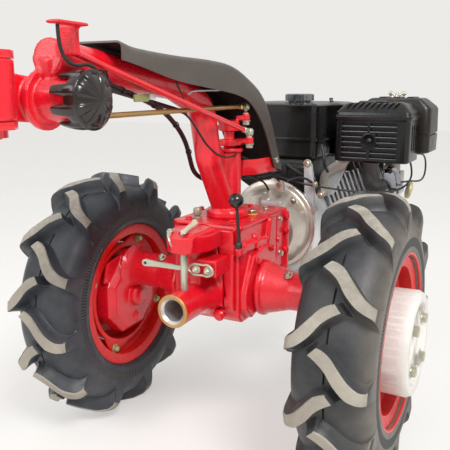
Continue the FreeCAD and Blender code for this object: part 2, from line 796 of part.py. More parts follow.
def fuel_tank():
    """Pressed tank with its seam and a ribbed cap."""
    base, top = S["tank_base"], S["tank_top"]
    rear, front, right, left = 322, FRONT_REACH - 25, -87, 150
    body = new_body("tank_body", (AXLE_X, 0, base), "plan")

    def around_tank(grow):
        return [
            (rear - grow, right - grow), (430 - grow, right - grow), (450 - grow, -112 - grow),
            (front + grow, -112 - grow), (front + grow, left + grow), (rear - grow, left + grow),
        ]

    pad(body, [around_tank(0)], top - base - 8)
    round_off(body, 12, upright)
    pad(body, [around_tank(3)], 5, 48)
    loft(body, [(top - base - 8, around_tank(-2)), (top - base, around_tank(-12))])
    cap = turned(
        "tank_cap", "plan", at(385, -17, top),
        [(0, -2), (30, -2), (30, 4), (38, 4), (38, 18), (33, 21), (0, 21)],
    )
    return keep("fuel_tank", fused("fuel_tank", [body, cap]))


def muffler_guard():
    """Pressed guard round the silencer, louvred at the rear."""
    base, height, roof = S["tank_base"], 122, 22
    length, right, left = CLEANER_X - 4 - GUARD_X, -314, -128
    body = new_body("guard_body", (AXLE_X + GUARD_X, 0, base), "plan")
    wall = [(0, right), (length, right), (length, left), (0, left)]
    inset = [(20, right + 22), (length, right + 22), (length, left - 22), (20, left - 22)]
    pad(body, [wall], height)
    round_off(body, 9, upright)
    loft(
        body,
        [
            (height, [(1, right + 1), (length, right + 1), (length, left - 1), (1, left - 1)]),
            (height + roof, inset),
        ],
    )
    louvres = [
        rectangle(column, 22 + 15 * row, 62, 7) for row in range(6) for column in (-260, -182)
    ]
    pocket(body, louvres, 4, 0, "YZ_Plane")
    slots = [rectangle(-275 + 14 * index, height + 9, 8, 10) for index in range(8)]
    pocket(body, slots, 30, 0, "YZ_Plane")
    return keep("muffler_guard", body)


def air_cleaner():
    """Moulded case of the air filter, with its wing nut."""
    base, height, roof = 615, 118, 22
    length, right, left = FRONT_REACH - 22 - CLEANER_X, -338, -152
    body = new_body("cleaner_body", (AXLE_X + CLEANER_X, 0, base), "plan")
    wall = [(0, right), (length, right), (length, left), (0, left)]
    pad(body, [wall], height)
    round_off(body, 14, upright)
    inset = [(4, right + 24), (length - 24, right + 24), (length - 24, left - 20), (4, left - 20)]
    loft(
        body,
        [
            (height, [(2, right + 3), (length - 3, right + 3), (length - 3, left - 3), (2, left - 3)]),
            (height + roof, inset),
        ],
    )
    nut = bar("cleaner_nut", at(CLEANER_X + 34, -244, base + height + roof), 7, 7)
    wings = box(
        "cleaner_wings", at(CLEANER_X + 31, -262, base + height + roof),
        at(CLEANER_X + 37, -226, base + height + roof + 11),
    )
    return keep("air_cleaner", fused("air_cleaner", [body, nut, wings]))


def exhaust():
    """Elbow from the head's rear face up to the silencer."""
    port = S["cylinder_x"] - 50 - S["seat"]
    path = [
        at(348, -222, S["tank_base"] - S["seat"]), at(348, -222, 548), at(port - 24, -240, 538),
        at(port, -240, 538),
    ]
    return keep("exhaust_pipe", tube("exhaust_pipe", path, 18, 20))


def carburettor():
    """Carburettor on the head's front face, and its elbow to the air cleaner."""
    rear = S["cylinder_x"] + 50
    bowl = box("carburettor_body", at(rear, -266, 506), at(rear + 52, -215, 562))
    cup = bar("carburettor_cup", at(rear + 28, -238, 482), 19, 26)
    elbow = bar("carburettor_elbow", at(rear + 30, -238, 560), 21, 55)
    return keep("carburettor", fused("carburettor", [bowl, cup, elbow]))


def shroud():
    """Blower housing between the crankcase and the fuel tank."""
    body = new_body("engine_shroud", (AXLE_X + 300, 0, 0), "rear")
    base, top, half = S["engine_top"], S["tank_base"], S["engine_half"]
    outline = [
        (-half + 32, base), (half - 26, base), (half + 8, base + 20), (half + 8, top),
        (-half + 32, top),
    ]
    pad(body, [outline], ENGINE_FRONT - 300)
    return keep("engine_shroud", body)


def blower():
    """Recoil starter: a ribbed bowl over the flywheel, with its air slots."""
    depth = S["starter_depth"]
    body = new_body("recoil_starter", (AXLE_X + ENGINE_FRONT, 0, CRANK_Z + 12), "rear")
    turn(body, [(0, 0), (128, 0), (128, depth / 2), (112, depth - 18), (60, depth), (0, depth)])
    slot = spun([(72, -5), (102, -5), (102, 5), (72, 5)], 9)
    around(body, pocket(body, [slot], 12, depth - 12), size(20))
    return keep("recoil_starter", body)


def engine_bracket():
    """Steel plate under the engine, with the lugs and the pin that carry the stand."""
    base, thick = S["engine_base"], 12
    x, z, pin = S["stand_x"], S["stand_z"], 6
    rear = S["bell_rear"] + 84
    plate = box("bracket_plate", at(rear, -90, base - thick), at(ENGINE_FRONT, 90, base))
    lug = slab(
        "bracket_lug", "side", (AXLE_X, 30, 0),
        [(x - 20, base - thick), (x - 14, z - 12), (x + 14, z - 12), (x + 20, base - thick)], 10, 4,
    )
    twin = mirrored("bracket_lug_right", lug)
    axle = bar("bracket_pin", (AXLE_X + x, -34, z), pin, 68, "left")
    return keep("engine_bracket", fused("engine_bracket", [plate, lug, twin, axle]))


def stand():
    """Folding leg with a cross foot."""
    x, z, pin = S["stand_x"], S["stand_z"], 6
    foot = x + S["stand_rake"]
    head = bar("stand_head", (AXLE_X + x, -17, z), 12, 34, "left")
    leg = rod("stand_leg", (AXLE_X + x, 0, z), (AXLE_X + foot, 0, 6), S["stand_radius"])
    sole = slab("stand_sole", "plan", (AXLE_X + foot, 0, 0), rectangle(0, 0, 60, 90), 8, 12)
    hole = bar("stand_hole", (AXLE_X + x, -40, z), pin + S["fit"], 80, "left")
    return keep("stand", cut("stand", fused("stand_solid", [head, leg, sole]), [hole]))


# Column and its controls
SHIELD_TOP = (
    (-430, 846), (-387, 838), (-273, 832), (-151, 829), (-69, 821), (0, 799), (60, 771), (104, 732),
    (147, 663), (187, 590),
)
SHIELD_EDGE = (
    (-430, 818), (-388, 811), (-274, 790), (-123, 774), (-46, 764), (10, 747), (62, 708), (96, 667),
    (138, 600),
)
BRASS_SIDE = -34
RED_SIDE = -46
# Lugs on the column that hold the rods' rear ends: ahead, inner and outer side, foot, top
ROD_LUGS = (
    (-474, -20, BRASS_SIDE - 8, 728, 800), (-521, -20, RED_SIDE - 8, 819, 861),
    (-452, 20, 48, 786, 810),
)


def column():
    """Post and leaning tube on the case, and the clamp that holds the yoke."""
    top, post_x = S["case_top"], S["post_x"]
    hinge_x, hinge_z = -S["hinge_x"], S["hinge_z"]
    beam = tube("column_beam", [
        at(-6, 0, top + 15), at(-78, 0, 640), at(-105, 0, 745), at(-210, 0, 785),
        at(hinge_x - 12, 0, hinge_z + 57),
    ], S["column_radius"], 60)
    post = bar("column_post", at(post_x, 0, top), S["post_radius"], S["post_top"] - top)
    base = turned(
        "column_base", "plan", at(post_x - 14, -3, top), [(0, 0), (46, 0), (46, 12), (42, 18), (0, 18)],
    )
    drop = rod("column_drop", at(hinge_x, 0, hinge_z), at(hinge_x, 0, hinge_z + 55), 16)
    boss = bar("column_boss", at(hinge_x, -50, hinge_z), 31, 72, "left")
    disc = bar("column_disc", at(hinge_x, 12, hinge_z), 43, 10, "left")
    pad_high = 835 - S["shield_wall"] - S["seat"]
    prop = slab(
        "column_prop", "side", at(0, 15, 0),
        [(-345, 800), (-315, 800), (-315, pad_high - 3.1), (-345, pad_high - 1.6)], 30,
    )
    web = slab(
        "column_web", "side", at(0, 5, 0),
        [(-80, 660), (post_x - 20, 560), (post_x - 20, 634), (-60, 690)], 10,
    )
    pieces = [beam, post, base, drop, boss, disc, prop, web]
    for index, (x, inner, outer, low, high) in enumerate(ROD_LUGS):
        sides = sorted((inner, outer))
        pieces.append(box(f"column_lug_{index}", at(x - 6, sides[0], low), at(x, sides[1], high)))
    pieces.append(box("column_clip", at(-580, -70, 856), at(-521, -50, 861)))
    return keep("steering_column", fused("steering_column", pieces))


def knob():
    """Lobed hand knob on the height clamp."""
    body = new_body("clamp_knob", at(-S["hinge_x"], -90, S["hinge_z"]), "left")
    turn(body, [(0, 0), (16, 0), (30, 8), (36, 20), (38, 34), (38, 40), (0, 40)])
    lobe = (size(30), size(0), size(12))
    around(body, pad(body, [lobe], 30, 10), size(5))
    return keep("clamp_knob", body)


def yoke():
    """Swing sleeve and the arm that carries it on the height hinge."""
    near = 22 + S["seat"]
    hinge_x, hinge_z = -S["hinge_x"], S["hinge_z"]
    low, high = S["pivot_low"], S["pivot_high"]
    disc = bar("yoke_disc", at(hinge_x, near, hinge_z), 34, 14, "left")
    arm = slab(
        "yoke_arm", "side", at(0, near + 24, 0),
        [
            (hinge_x - 10, hinge_z - 32), (-PIVOT_X, low + 4), (-PIVOT_X, high - 4),
            (hinge_x - 10, hinge_z + 32),
        ],
        12,
    )
    sleeve = bar("yoke_sleeve", at(-PIVOT_X, 4, low), 32, high - low)
    bore = bar("yoke_bore", at(-PIVOT_X, 4, low - 20), S["pin_radius"] + S["fit"], high - low + 40)
    return keep("yoke", cut("yoke", fused("yoke_solid", [disc, arm, sleeve]), [bore]))


def handlebar():
    """Clevis on the swing pin, stem and two side bars."""
    middle, wall = 4, 10
    low, high = S["pivot_low"] - S["seat"], S["pivot_high"] + S["seat"]
    plan = [(-72, -30), (10, -30), (30, -16), (30, 16), (10, 30), (-72, 30)]
    top = slab("clevis_top", "plan", at(-PIVOT_X, middle, high), plan, wall, 4)
    bottom = slab("clevis_bottom", "plan", at(-PIVOT_X, middle, low - wall), plan, wall, 4)
    back = box(
        "clevis_back", at(-PIVOT_X - 72, middle - 30, low - wall),
        at(-PIVOT_X - 42, middle + 30, high + wall),
    )
    pin = bar("clevis_pin", at(-PIVOT_X, middle, low - 22), S["pin_radius"], high - low + 38)
    nut = bar("clevis_nut", at(-PIVOT_X, middle, low - 20), 20, 11)
    stem = tube("bar_stem", [
        at(-PIVOT_X - 60, middle, 780), at(-PIVOT_X - 150, 2, 815), at(-STEM_X - 13, 0, 930),
    ], S["stem_radius"], 120)
    half, height = S["grip_half"], S["grip_top"]
    level = STEM_X + S["side_run"]
    pieces = [top, bottom, back, pin, nut, stem]
    for name, side in (("right", -1), ("left", 1)):
        pieces.append(tube(f"bar_{name}", [
            at(2 - STEM_X, 0, 915), at(-STEM_X - 25, half * (0.55 * side), 925),
            at(87 - level, half * side, 960), at(-level, half * side, height),
            at(2 - REAR_REACH, half * side, height),
        ], S["bar_radius"], 45))
    plate = slab(
        "bar_panel", "plan", at(-STEM_X - 22, 0, 926), [(-46, -52), (34, -52), (34, 52), (-46, 52)], 8,
        10,
    )
    return keep("handlebar", fused("handlebar", pieces + [plate]))


def hand_levers():
    """Clutch lever under the left grip and throttle lever by the right one."""
    half, height = S["grip_half"], S["grip_top"]
    hold = 130 - REAR_REACH
    ring = S["bar_radius"] + S["fit"]
    clutch = tube(
        "clutch_blade",
        [
            at(hold + 14, half, height + 22), at(hold + 2, half, height + 30),
            at(hold - 120, half, height + 34),
        ],
        5, 10,
    )
    clamp = cut(
        "clutch_clamp", bar("clutch_ring", at(hold + 2, half, height), 20, 22, "rear"),
        [bar("clutch_bore", at(hold, half, height), ring, 30, "rear")],
    )
    keep("clutch_lever", fused("clutch_lever", [clutch, clamp]))
    blade = box(
        "throttle_blade", at(hold + 8, -half - 4, height + 18), at(hold + 16, -half + 4, height + 56),
    )
    seat = cut(
        "throttle_clamp", bar("throttle_ring", at(hold + 2, -half, height), 20, 20, "rear"),
        [bar("throttle_bore", at(hold, -half, height), ring, 30, "rear")],
    )
    keep("throttle_lever", fused("throttle_lever", [blade, seat]))


def grip(name, side):
    """Ribbed rubber grip, closed at its end."""
    bore, wall = S["bar_radius"] + S["fit"], S["grip_wall"]
    length = 126
    body = new_body(name, at(-REAR_REACH, S["grip_half"] * side, S["grip_top"]), "rear")
    turn(body, [
        (0, 0), (bore, 0), (bore + wall, 2), (bore + wall + 2, 6), (bore + wall, 10),
        (bore + wall, length - 6), (bore + wall + 4, length - 4), (bore + wall + 4, length),
        (bore, length),
        (bore, 1.5), (0, 1.5),
    ])
    return keep(name, body)


def shield():
    """Folded cover over the leaning tube and the selector arms."""
    half, wall = S["shield_half"], S["shield_wall"]
    body = new_body("shield", (AXLE_X, half, 0), "side")
    flange = list(SHIELD_TOP) + list(SHIELD_EDGE[::-1])
    pad(body, [band(SHIELD_TOP, wall)], half * 2)
    pad(body, [flange], wall)
    pad(body, [flange], wall, half * 2 - wall)
    return keep("shield", body)


def shield_strap():
    """Bent flat bar from the post to both sides of the shield."""
    front = S["post_x"] + S["post_radius"]
    side = S["shield_half"] - S["shield_wall"] - S["seat"]
    outer = [(158, side), (front + 24, side - 10), (front, 22)]
    inner = [(front + 4, 20), (front + 27, side - 14), (158, side - 4)]
    right = [(x, -size(y)) for x, y in reversed(inner + outer)]
    body = new_body("shield_strap", (AXLE_X, 0, 592), "plan")
    pad(body, [outer + right + inner], 34)
    return keep("shield_strap", body)


def selector():
    """Selector shaft in the post, its two arms and their ball studs."""
    x, base = S["post_x"], S["post_top"]
    plate = bar("selector_plate", at(x, 0, base), 30, 8)
    shaft = bar("selector_shaft", at(x, 0, base), 11, 66)
    pieces = [plate, shaft]
    # Arms: hub's foot and height, arm's foot, rise at its half, end's place and the stud's top
    arms = (
        (base + 12, 14, base + 14, 5, 18, RED_SIDE, 678.7),
        (base + 44, 22, base + 58, 9, 25, BRASS_SIDE, 732.7),
    )
    for index, (low, tall, arm_low, rise, end_x, end_y, stud_top) in enumerate(arms):
        collar = bar(f"selector_hub_{index}", at(x, 0, low), 23, tall)
        turn_to = math.degrees(math.atan2(end_y, end_x - x.number))
        reach = math.hypot(end_y, end_x - x.number)
        inner = slab(
            f"selector_root_{index}", "plan", at(x, 0, arm_low),
            spun([(0, -16), (reach * 0.62, -11), (reach * 0.62, 11), (0, 16)], turn_to), 10,
        )
        outer = slab(
            f"selector_arm_{index}", "plan", at(x, 0, arm_low + rise),
            spun(
                [(reach * 0.45, -12), (reach, -8), (reach + 8, 0), (reach, 8), (reach * 0.45, 12)],
                turn_to,
            ),
            10,
        )
        foot = size(arm_low + rise)
        eye = bar(f"selector_eye_{index}", at(end_x, end_y, foot - 1), 9, 13)
        stud = bar(f"selector_stud_{index}", at(end_x, end_y, foot - 8), 4, stud_top - foot + 8)
        pieces += [collar, inner, outer, eye, stud]
    left = slab(
        "selector_arm_left", "plan", at(x, 0, base + 46),
        [(-12, 0), (-8, 34), (0, 42), (8, 34), (12, 0)], 9,
    )
    return keep("selector_arms", fused("selector_arms", pieces + [left]))


def control_rods():
    """Three rods with ball sockets, from the arms to the lugs near the hinge."""
    # Rod: its rear end, its front end and its radius
    rods = (
        ("brass", at(-473.6, BRASS_SIDE, 738), at(25, BRASS_SIDE, 742), 4.5),
        ("red", at(-519.4, RED_SIDE, 823), at(18, RED_SIDE, 688), 5),
        ("dark", at(-450.6, 40, 797), at(14, 40, 710), 4.5),
    )
    for name, start, end, radius in rods:
        pieces = [rod(f"{name}_shaft", start, end, radius), ball(f"{name}_socket", end, 9)]
        keep(f"{name}_rod", fused(f"{name}_rod", pieces))


# From the hitch pin's middle to the lug that its latch is bolted to
LATCH_LUG = 22


def hitch():
    """Hitch socket, its plate on the case, and the bracket that guides the pin."""
    rear = -S["case_rear"]
    mouth, pin_x = -MOUTH_X, 47 - MOUTH_X
    wall, plate = 8, rear - 8
    body = new_body("hitch_body", (AXLE_X + mouth, 0, TUBE_Z), "rear")
    turn(body, [
        (0, 0), (S["hitch_radius"], 0), (S["hitch_radius"], 96),
        (S["hitch_radius"] + 10, plate - mouth),
        (0, plate - mouth),
    ])
    turn(body, [
        (0, 0), (S["hitch_bore"] + 4, 0), (S["hitch_bore"], 6), (S["hitch_bore"], 110), (0, 112),
    ], "Groove")
    back = slab(
        "hitch_plate", "rear", at(plate, 0, 0), [
            (-24, 312), (64, 312), (64, 499), (-8, 499), (-8, 483), (-32, 463), (-44, 395),
            (-44, 334), (-24, 334),
        ],
        wall,
    )
    bracket = slab(
        "hitch_bracket", "plan", at(pin_x, 0, 466),
        [
            (-24, -14), (-16, -26), (30, -46), (74, -44), (74, -8), (80, -8), (80, 62), (30, 52),
            (-12, 32), (-24, 14),
        ],
        34,
    )
    brow = slab(
        "hitch_brow", "side", at(pin_x, 30, 0),
        [(-18, 498), (0, 506), (74, 506), (74, 480), (-18, 480)], 60,
    )
    web_low = TUBE_Z + S["hitch_bore"] + 6
    web = slab(
        "hitch_web", "side", at(0, 14, 0),
        [(plate - 40, web_low), (plate + 2, web_low), (plate + 2, 480), (plate - 40, 470)], 28,
    )
    lug = box("hitch_lug", at(pin_x + LATCH_LUG, -60, 414), at(rear - 12.6, -10, 450))
    hole = bar("hitch_hole", at(pin_x, 0, TUBE_Z + 25), S["hitch_pin"] + S["fit"], 160)
    return keep(
        "hitch_socket",
        cut("hitch_socket", fused("hitch_solid", [body, back, bracket, brow, web, lug]), [hole]),
    )


def hitch_pin():
    """Cross pin of the hitch, dropped through the bracket into the socket's wall."""
    low, top = TUBE_Z + 25, 505
    return keep("hitch_pin", bar("hitch_pin", at(47 - MOUTH_X, 0, low), S["hitch_pin"], top - low))


def hitch_lever():
    """Latch lever ahead of the pin, and its shackle with two bolts."""
    x, z = 47 - MOUTH_X + S["hitch_pin"] + S["seat"], 430
    arm = slab("lever_arm", "rear", at(x, 0, z), [(100, -7), (106, 0), (100, 7), (-6, 5), (-6, -5)], 6)
    eye = bar("lever_eye", at(x, 98, z), 8, 6, "rear")
    plate = slab(
        "lever_link", "rear", at(x, 0, z),
        [(-2, -6), (-14, -13), (-48, -13), (-58, 0), (-48, 13), (-14, 13), (-2, 6)], 5,
    )
    reach = LATCH_LUG - S["hitch_pin"] - S["seat"]
    bolts = [
        bar(f"lever_bolt_{i}", at(x - 4, y, z), 7, reach + 4, "rear")
        for i, y in enumerate((-20, -46))
    ]
    return keep("hitch_lever", fused("hitch_lever", [arm, eye, plate] + bolts))


def selector_lever():
    """Flat lever of the power take-off, on the hitch bracket."""
    floor = 506 + S["seat"]
    blade = spun([(0, -8), (82, -6), (87, 0), (82, 6), (0, 8), (-6, 0)], 195)
    arm = slab("selector_lever_arm", "plan", at(-112, 14, floor), blade, 5)
    pivot = bar("selector_lever_pivot", at(-112, 14, floor), 6, 11)
    return keep("selector_lever", fused("selector_lever", [arm, pivot]))


def gear_lever():
    """Thin lever with a ball knob, on a boss at the case's rear corner."""
    foot, knee, tip = at(-99.5, -88, 472), at(-114, -88, 524), at(-128, -88, 562)
    bend = ball("lever_bend", knee, 3.5)
    pieces = [rod("lever_foot", foot, knee, 3), bend, rod("lever_stick", knee, tip, 3)]
    boss = bar("lever_boss", at(-99.5, -88, LEVER_FOOT + S["seat"]), 7, 12)
    pieces += [boss, ball("lever_ball", at(-128, -88, 567), 15)]
    return keep("gear_lever", fused("gear_lever", pieces))


# Cords. Their points are (ahead of the axle line, side, height)
THROTTLE_ROUTE = (
    (40.3, -4, 634), (66, -5, 632), (98, -8, 620), (128, -12, 606), (158, -18, 591), (190, -27, 578),
    (218, -42, 566), (243, -68, 554), (262, -104, 545), (286, -142, 538), (306, -182, 532),
    (322, -222, 529), (344, -260, 529), (378, -290, 533), (420, -300, 542), (462, -301, 555),
    (492, -294, 574), (502, -286, 595), (504, -284, 614.7),
)
HARNESS_ROUTE = (
    (-570, -60, 855.7), (-570, -60, 826), (-548, -60, 807), (-512, -59, 813), (-478, -50, 801),
    (-442, -33, 784), (-401, -27, 775), (-340, -22, 763), (-295, -13, 753), (-249, -4, 740),
    (-204, 6, 722),
    (-157, 16, 697), (-118, 26, 668), (-88, 37, 636), (-58, 47, 606), (-15, 53, 585), (40, 48, 578),
    (100, 30, 577), (165, 10, 575), (235, 0, 572), (299.7, 0, 572),
)


def throttle_cable():
    return keep(
        "throttle_cable", tube("throttle_cable", [at(*point) for point in THROTTLE_ROUTE], S["cable"]),
    )


def harness():
    return keep(
        "cable_harness", tube("cable_harness", [at(*point) for point in HARNESS_ROUTE], S["bundle"]),
    )


def build():
    tyres()
    left_pieces = [rim(), disc(), hub(), weight(), axle_tube(), final_drive()]
    for piece in left_pieces:
        name = piece.Label.replace("_left", "_right")
        keep(name, mirrored(name, piece))
    gearbox_case()
    front_case()
    clutch_housing()
    block = engine_block()
    cylinder(block)
    for make in (
        valve_cover, fuel_tank, muffler_guard, air_cleaner, exhaust, carburettor, shroud, blower,
        engine_bracket,
        stand, column, knob, yoke, handlebar, hand_levers, shield, shield_strap, selector, control_rods,
        hitch, hitch_pin, hitch_lever, selector_lever, gear_lever, throttle_cable, harness,
    ):
        make()
    grip("grip_right", -1)
    grip("grip_left", 1)


def check():
    """Stop if anything failed to build."""
    doc.recompute()
    for thing in doc.Objects:
        bad = {"Invalid", "Error"} & set(thing.State)
        if bad:
            raise RuntimeError(f"{thing.Name}: {thing.State}")
    for name, thing in parts.items():
        if thing.Shape.isNull() or not thing.Shape.isValid():
            raise RuntimeError(f"{name} has no valid shape")


def write():
    os.makedirs("parts", exist_ok=True)
    for name, thing in parts.items():
        thing.Shape.exportStep(f"parts/{name}.step")
        box = thing.Shape.BoundBox
        print(f"{name}: {len(thing.Shape.Solids)} solids, {thing.Shape.Volume / 1e6:.3f} dm3, "
              f"x {box.XMin:.1f} {box.XMax:.1f} y {box.YMin:.1f} {box.YMax:.1f} "
              f"z {box.ZMin:.1f} {box.ZMax:.1f}")


build()
check()
write()
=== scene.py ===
import math

import bmesh
import bpy
from mathutils import Matrix, Vector

# Walking tractor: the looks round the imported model.
# Frame: X forward, Y to the left, Z up, metres, floor at Z = 0.
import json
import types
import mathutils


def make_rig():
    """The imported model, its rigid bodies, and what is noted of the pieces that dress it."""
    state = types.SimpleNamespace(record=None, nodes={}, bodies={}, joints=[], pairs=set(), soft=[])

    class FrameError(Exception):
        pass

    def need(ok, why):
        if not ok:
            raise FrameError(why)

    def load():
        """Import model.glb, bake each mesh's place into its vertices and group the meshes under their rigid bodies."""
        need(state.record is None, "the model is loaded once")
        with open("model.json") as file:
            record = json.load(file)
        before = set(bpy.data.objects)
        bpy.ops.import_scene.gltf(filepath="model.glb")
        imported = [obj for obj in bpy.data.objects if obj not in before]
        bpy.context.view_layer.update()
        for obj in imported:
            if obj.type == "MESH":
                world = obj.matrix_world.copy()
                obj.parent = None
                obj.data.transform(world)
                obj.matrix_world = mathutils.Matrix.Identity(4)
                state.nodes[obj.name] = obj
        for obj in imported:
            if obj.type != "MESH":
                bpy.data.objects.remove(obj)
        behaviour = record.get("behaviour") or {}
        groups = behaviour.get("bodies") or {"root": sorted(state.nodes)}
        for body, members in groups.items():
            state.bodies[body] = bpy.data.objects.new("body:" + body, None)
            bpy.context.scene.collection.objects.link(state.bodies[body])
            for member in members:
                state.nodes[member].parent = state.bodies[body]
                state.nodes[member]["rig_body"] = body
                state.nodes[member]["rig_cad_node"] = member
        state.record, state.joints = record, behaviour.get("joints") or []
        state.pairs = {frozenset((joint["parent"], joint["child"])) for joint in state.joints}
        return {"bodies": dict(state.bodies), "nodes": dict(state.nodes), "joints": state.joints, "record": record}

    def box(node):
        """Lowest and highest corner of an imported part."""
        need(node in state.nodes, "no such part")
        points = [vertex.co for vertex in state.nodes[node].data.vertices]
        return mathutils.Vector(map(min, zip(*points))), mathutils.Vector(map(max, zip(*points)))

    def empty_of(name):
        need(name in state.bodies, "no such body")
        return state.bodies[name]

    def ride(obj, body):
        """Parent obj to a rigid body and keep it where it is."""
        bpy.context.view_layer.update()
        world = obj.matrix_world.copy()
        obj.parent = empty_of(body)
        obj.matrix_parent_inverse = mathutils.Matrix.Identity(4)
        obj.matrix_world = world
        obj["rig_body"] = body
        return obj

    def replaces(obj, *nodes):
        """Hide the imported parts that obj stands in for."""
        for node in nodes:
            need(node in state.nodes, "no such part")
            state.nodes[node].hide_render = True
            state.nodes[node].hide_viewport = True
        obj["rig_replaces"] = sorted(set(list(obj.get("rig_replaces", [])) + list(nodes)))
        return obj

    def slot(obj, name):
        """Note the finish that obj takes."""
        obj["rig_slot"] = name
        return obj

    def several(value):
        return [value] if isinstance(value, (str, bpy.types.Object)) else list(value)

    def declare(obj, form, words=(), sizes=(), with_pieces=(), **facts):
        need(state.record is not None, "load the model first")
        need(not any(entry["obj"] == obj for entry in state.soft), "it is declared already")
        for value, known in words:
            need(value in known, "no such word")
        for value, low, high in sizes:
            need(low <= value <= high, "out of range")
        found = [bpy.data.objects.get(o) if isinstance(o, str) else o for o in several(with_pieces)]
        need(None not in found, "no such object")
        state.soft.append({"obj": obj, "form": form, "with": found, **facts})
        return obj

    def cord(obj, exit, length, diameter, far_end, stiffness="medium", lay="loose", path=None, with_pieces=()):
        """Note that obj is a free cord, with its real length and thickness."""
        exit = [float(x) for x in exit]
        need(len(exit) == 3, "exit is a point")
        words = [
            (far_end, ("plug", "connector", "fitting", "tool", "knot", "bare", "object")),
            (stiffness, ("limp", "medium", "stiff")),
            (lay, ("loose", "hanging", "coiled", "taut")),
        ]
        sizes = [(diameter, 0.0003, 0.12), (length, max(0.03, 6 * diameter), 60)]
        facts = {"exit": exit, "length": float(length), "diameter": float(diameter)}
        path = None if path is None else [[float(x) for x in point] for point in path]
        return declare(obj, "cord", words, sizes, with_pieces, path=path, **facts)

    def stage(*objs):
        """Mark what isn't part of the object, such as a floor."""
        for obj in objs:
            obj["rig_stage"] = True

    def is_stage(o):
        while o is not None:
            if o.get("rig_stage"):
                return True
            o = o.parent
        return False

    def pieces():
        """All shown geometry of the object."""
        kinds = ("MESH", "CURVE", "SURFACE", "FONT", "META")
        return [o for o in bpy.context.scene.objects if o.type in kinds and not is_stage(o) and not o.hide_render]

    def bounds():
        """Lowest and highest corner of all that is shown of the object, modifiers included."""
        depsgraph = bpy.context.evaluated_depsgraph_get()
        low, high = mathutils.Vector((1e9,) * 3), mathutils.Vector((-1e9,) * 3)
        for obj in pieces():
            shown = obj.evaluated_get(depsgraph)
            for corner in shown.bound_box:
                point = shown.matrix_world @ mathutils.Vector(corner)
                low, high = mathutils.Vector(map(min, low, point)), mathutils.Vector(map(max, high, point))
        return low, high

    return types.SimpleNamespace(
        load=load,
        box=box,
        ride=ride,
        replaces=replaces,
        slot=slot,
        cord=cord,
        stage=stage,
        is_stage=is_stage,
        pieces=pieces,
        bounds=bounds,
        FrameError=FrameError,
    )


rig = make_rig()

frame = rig.load()
cad_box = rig.bounds()

# Sizes shared by several pieces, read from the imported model
TYRE_LOW, TYRE_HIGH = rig.box("tyre_left")
AXLE_X = (TYRE_LOW.x + TYRE_HIGH.x) / 2
WHEEL_Z = (TYRE_LOW.z + TYRE_HIGH.z) / 2
HALF_TRACK = (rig.box("rim_left")[0].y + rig.box("rim_left")[1].y) / 2
# Heights of the wheels' axis, of the axle tubes and the hitch, and of the crankshaft, in millimetres
WHEEL_UP, TUBE_UP, CRANK_UP = 290, 358, 422


def at(x, y, z):
    """A place given in metres ahead of the axle line, to the left and up."""
    return Vector((AXLE_X + x, y, z))


def mm(x, y, z):
    """A place given in millimetres ahead of the axle line, to the left and up."""
    return at(x / 1000, y / 1000, z / 1000)


REAR, AHEAD, LEFT, RIGHT, UP, DOWN = (-1, 0, 0), (1, 0, 0), (0, 1, 0), (0, -1, 0), (0, 0, 1), (0, 0, -1)


def new_object(name, data):
    """An object of the data, linked to the scene."""
    piece = bpy.data.objects.new(name, data)
    bpy.context.scene.collection.objects.link(piece)
    return piece


def camera():
    """The camera that stands where the photo was taken from."""
    lens = bpy.data.cameras.new("camera")
    lens.lens = 50.3
    lens.sensor_width = 36
    view = new_object("camera", lens)
    yaw, pitch = math.radians(27.576), math.radians(-12.114)
    way = Vector((math.cos(yaw) * math.cos(pitch), math.sin(yaw) * math.cos(pitch), math.sin(pitch)))
    view.location = (-0.9259, -0.6217, 0.7753)
    view.rotation_euler = way.to_track_quat("-Z", "Y").to_euler()
    bpy.context.scene.camera = view
    bpy.context.scene.view_settings.view_transform = "Standard"


# Materials
def add_node(tree, kind, sockets=(), **settings):
    """A shader node with its settings, its sockets given as values or as other nodes' outputs."""
    node = tree.nodes.new(kind)
    for key, value in settings.items():
        setattr(node, key, value)
    for key, value in dict(sockets).items():
        if isinstance(value, bpy.types.NodeSocket):
            tree.links.new(value, node.inputs[key])
        else:
            node.inputs[key].default_value = value
    return node


def colour(value):
    """A colour as a socket takes it, from three numbers."""
    if isinstance(value, bpy.types.NodeSocket):
        return value
    return (*value, 1.0)


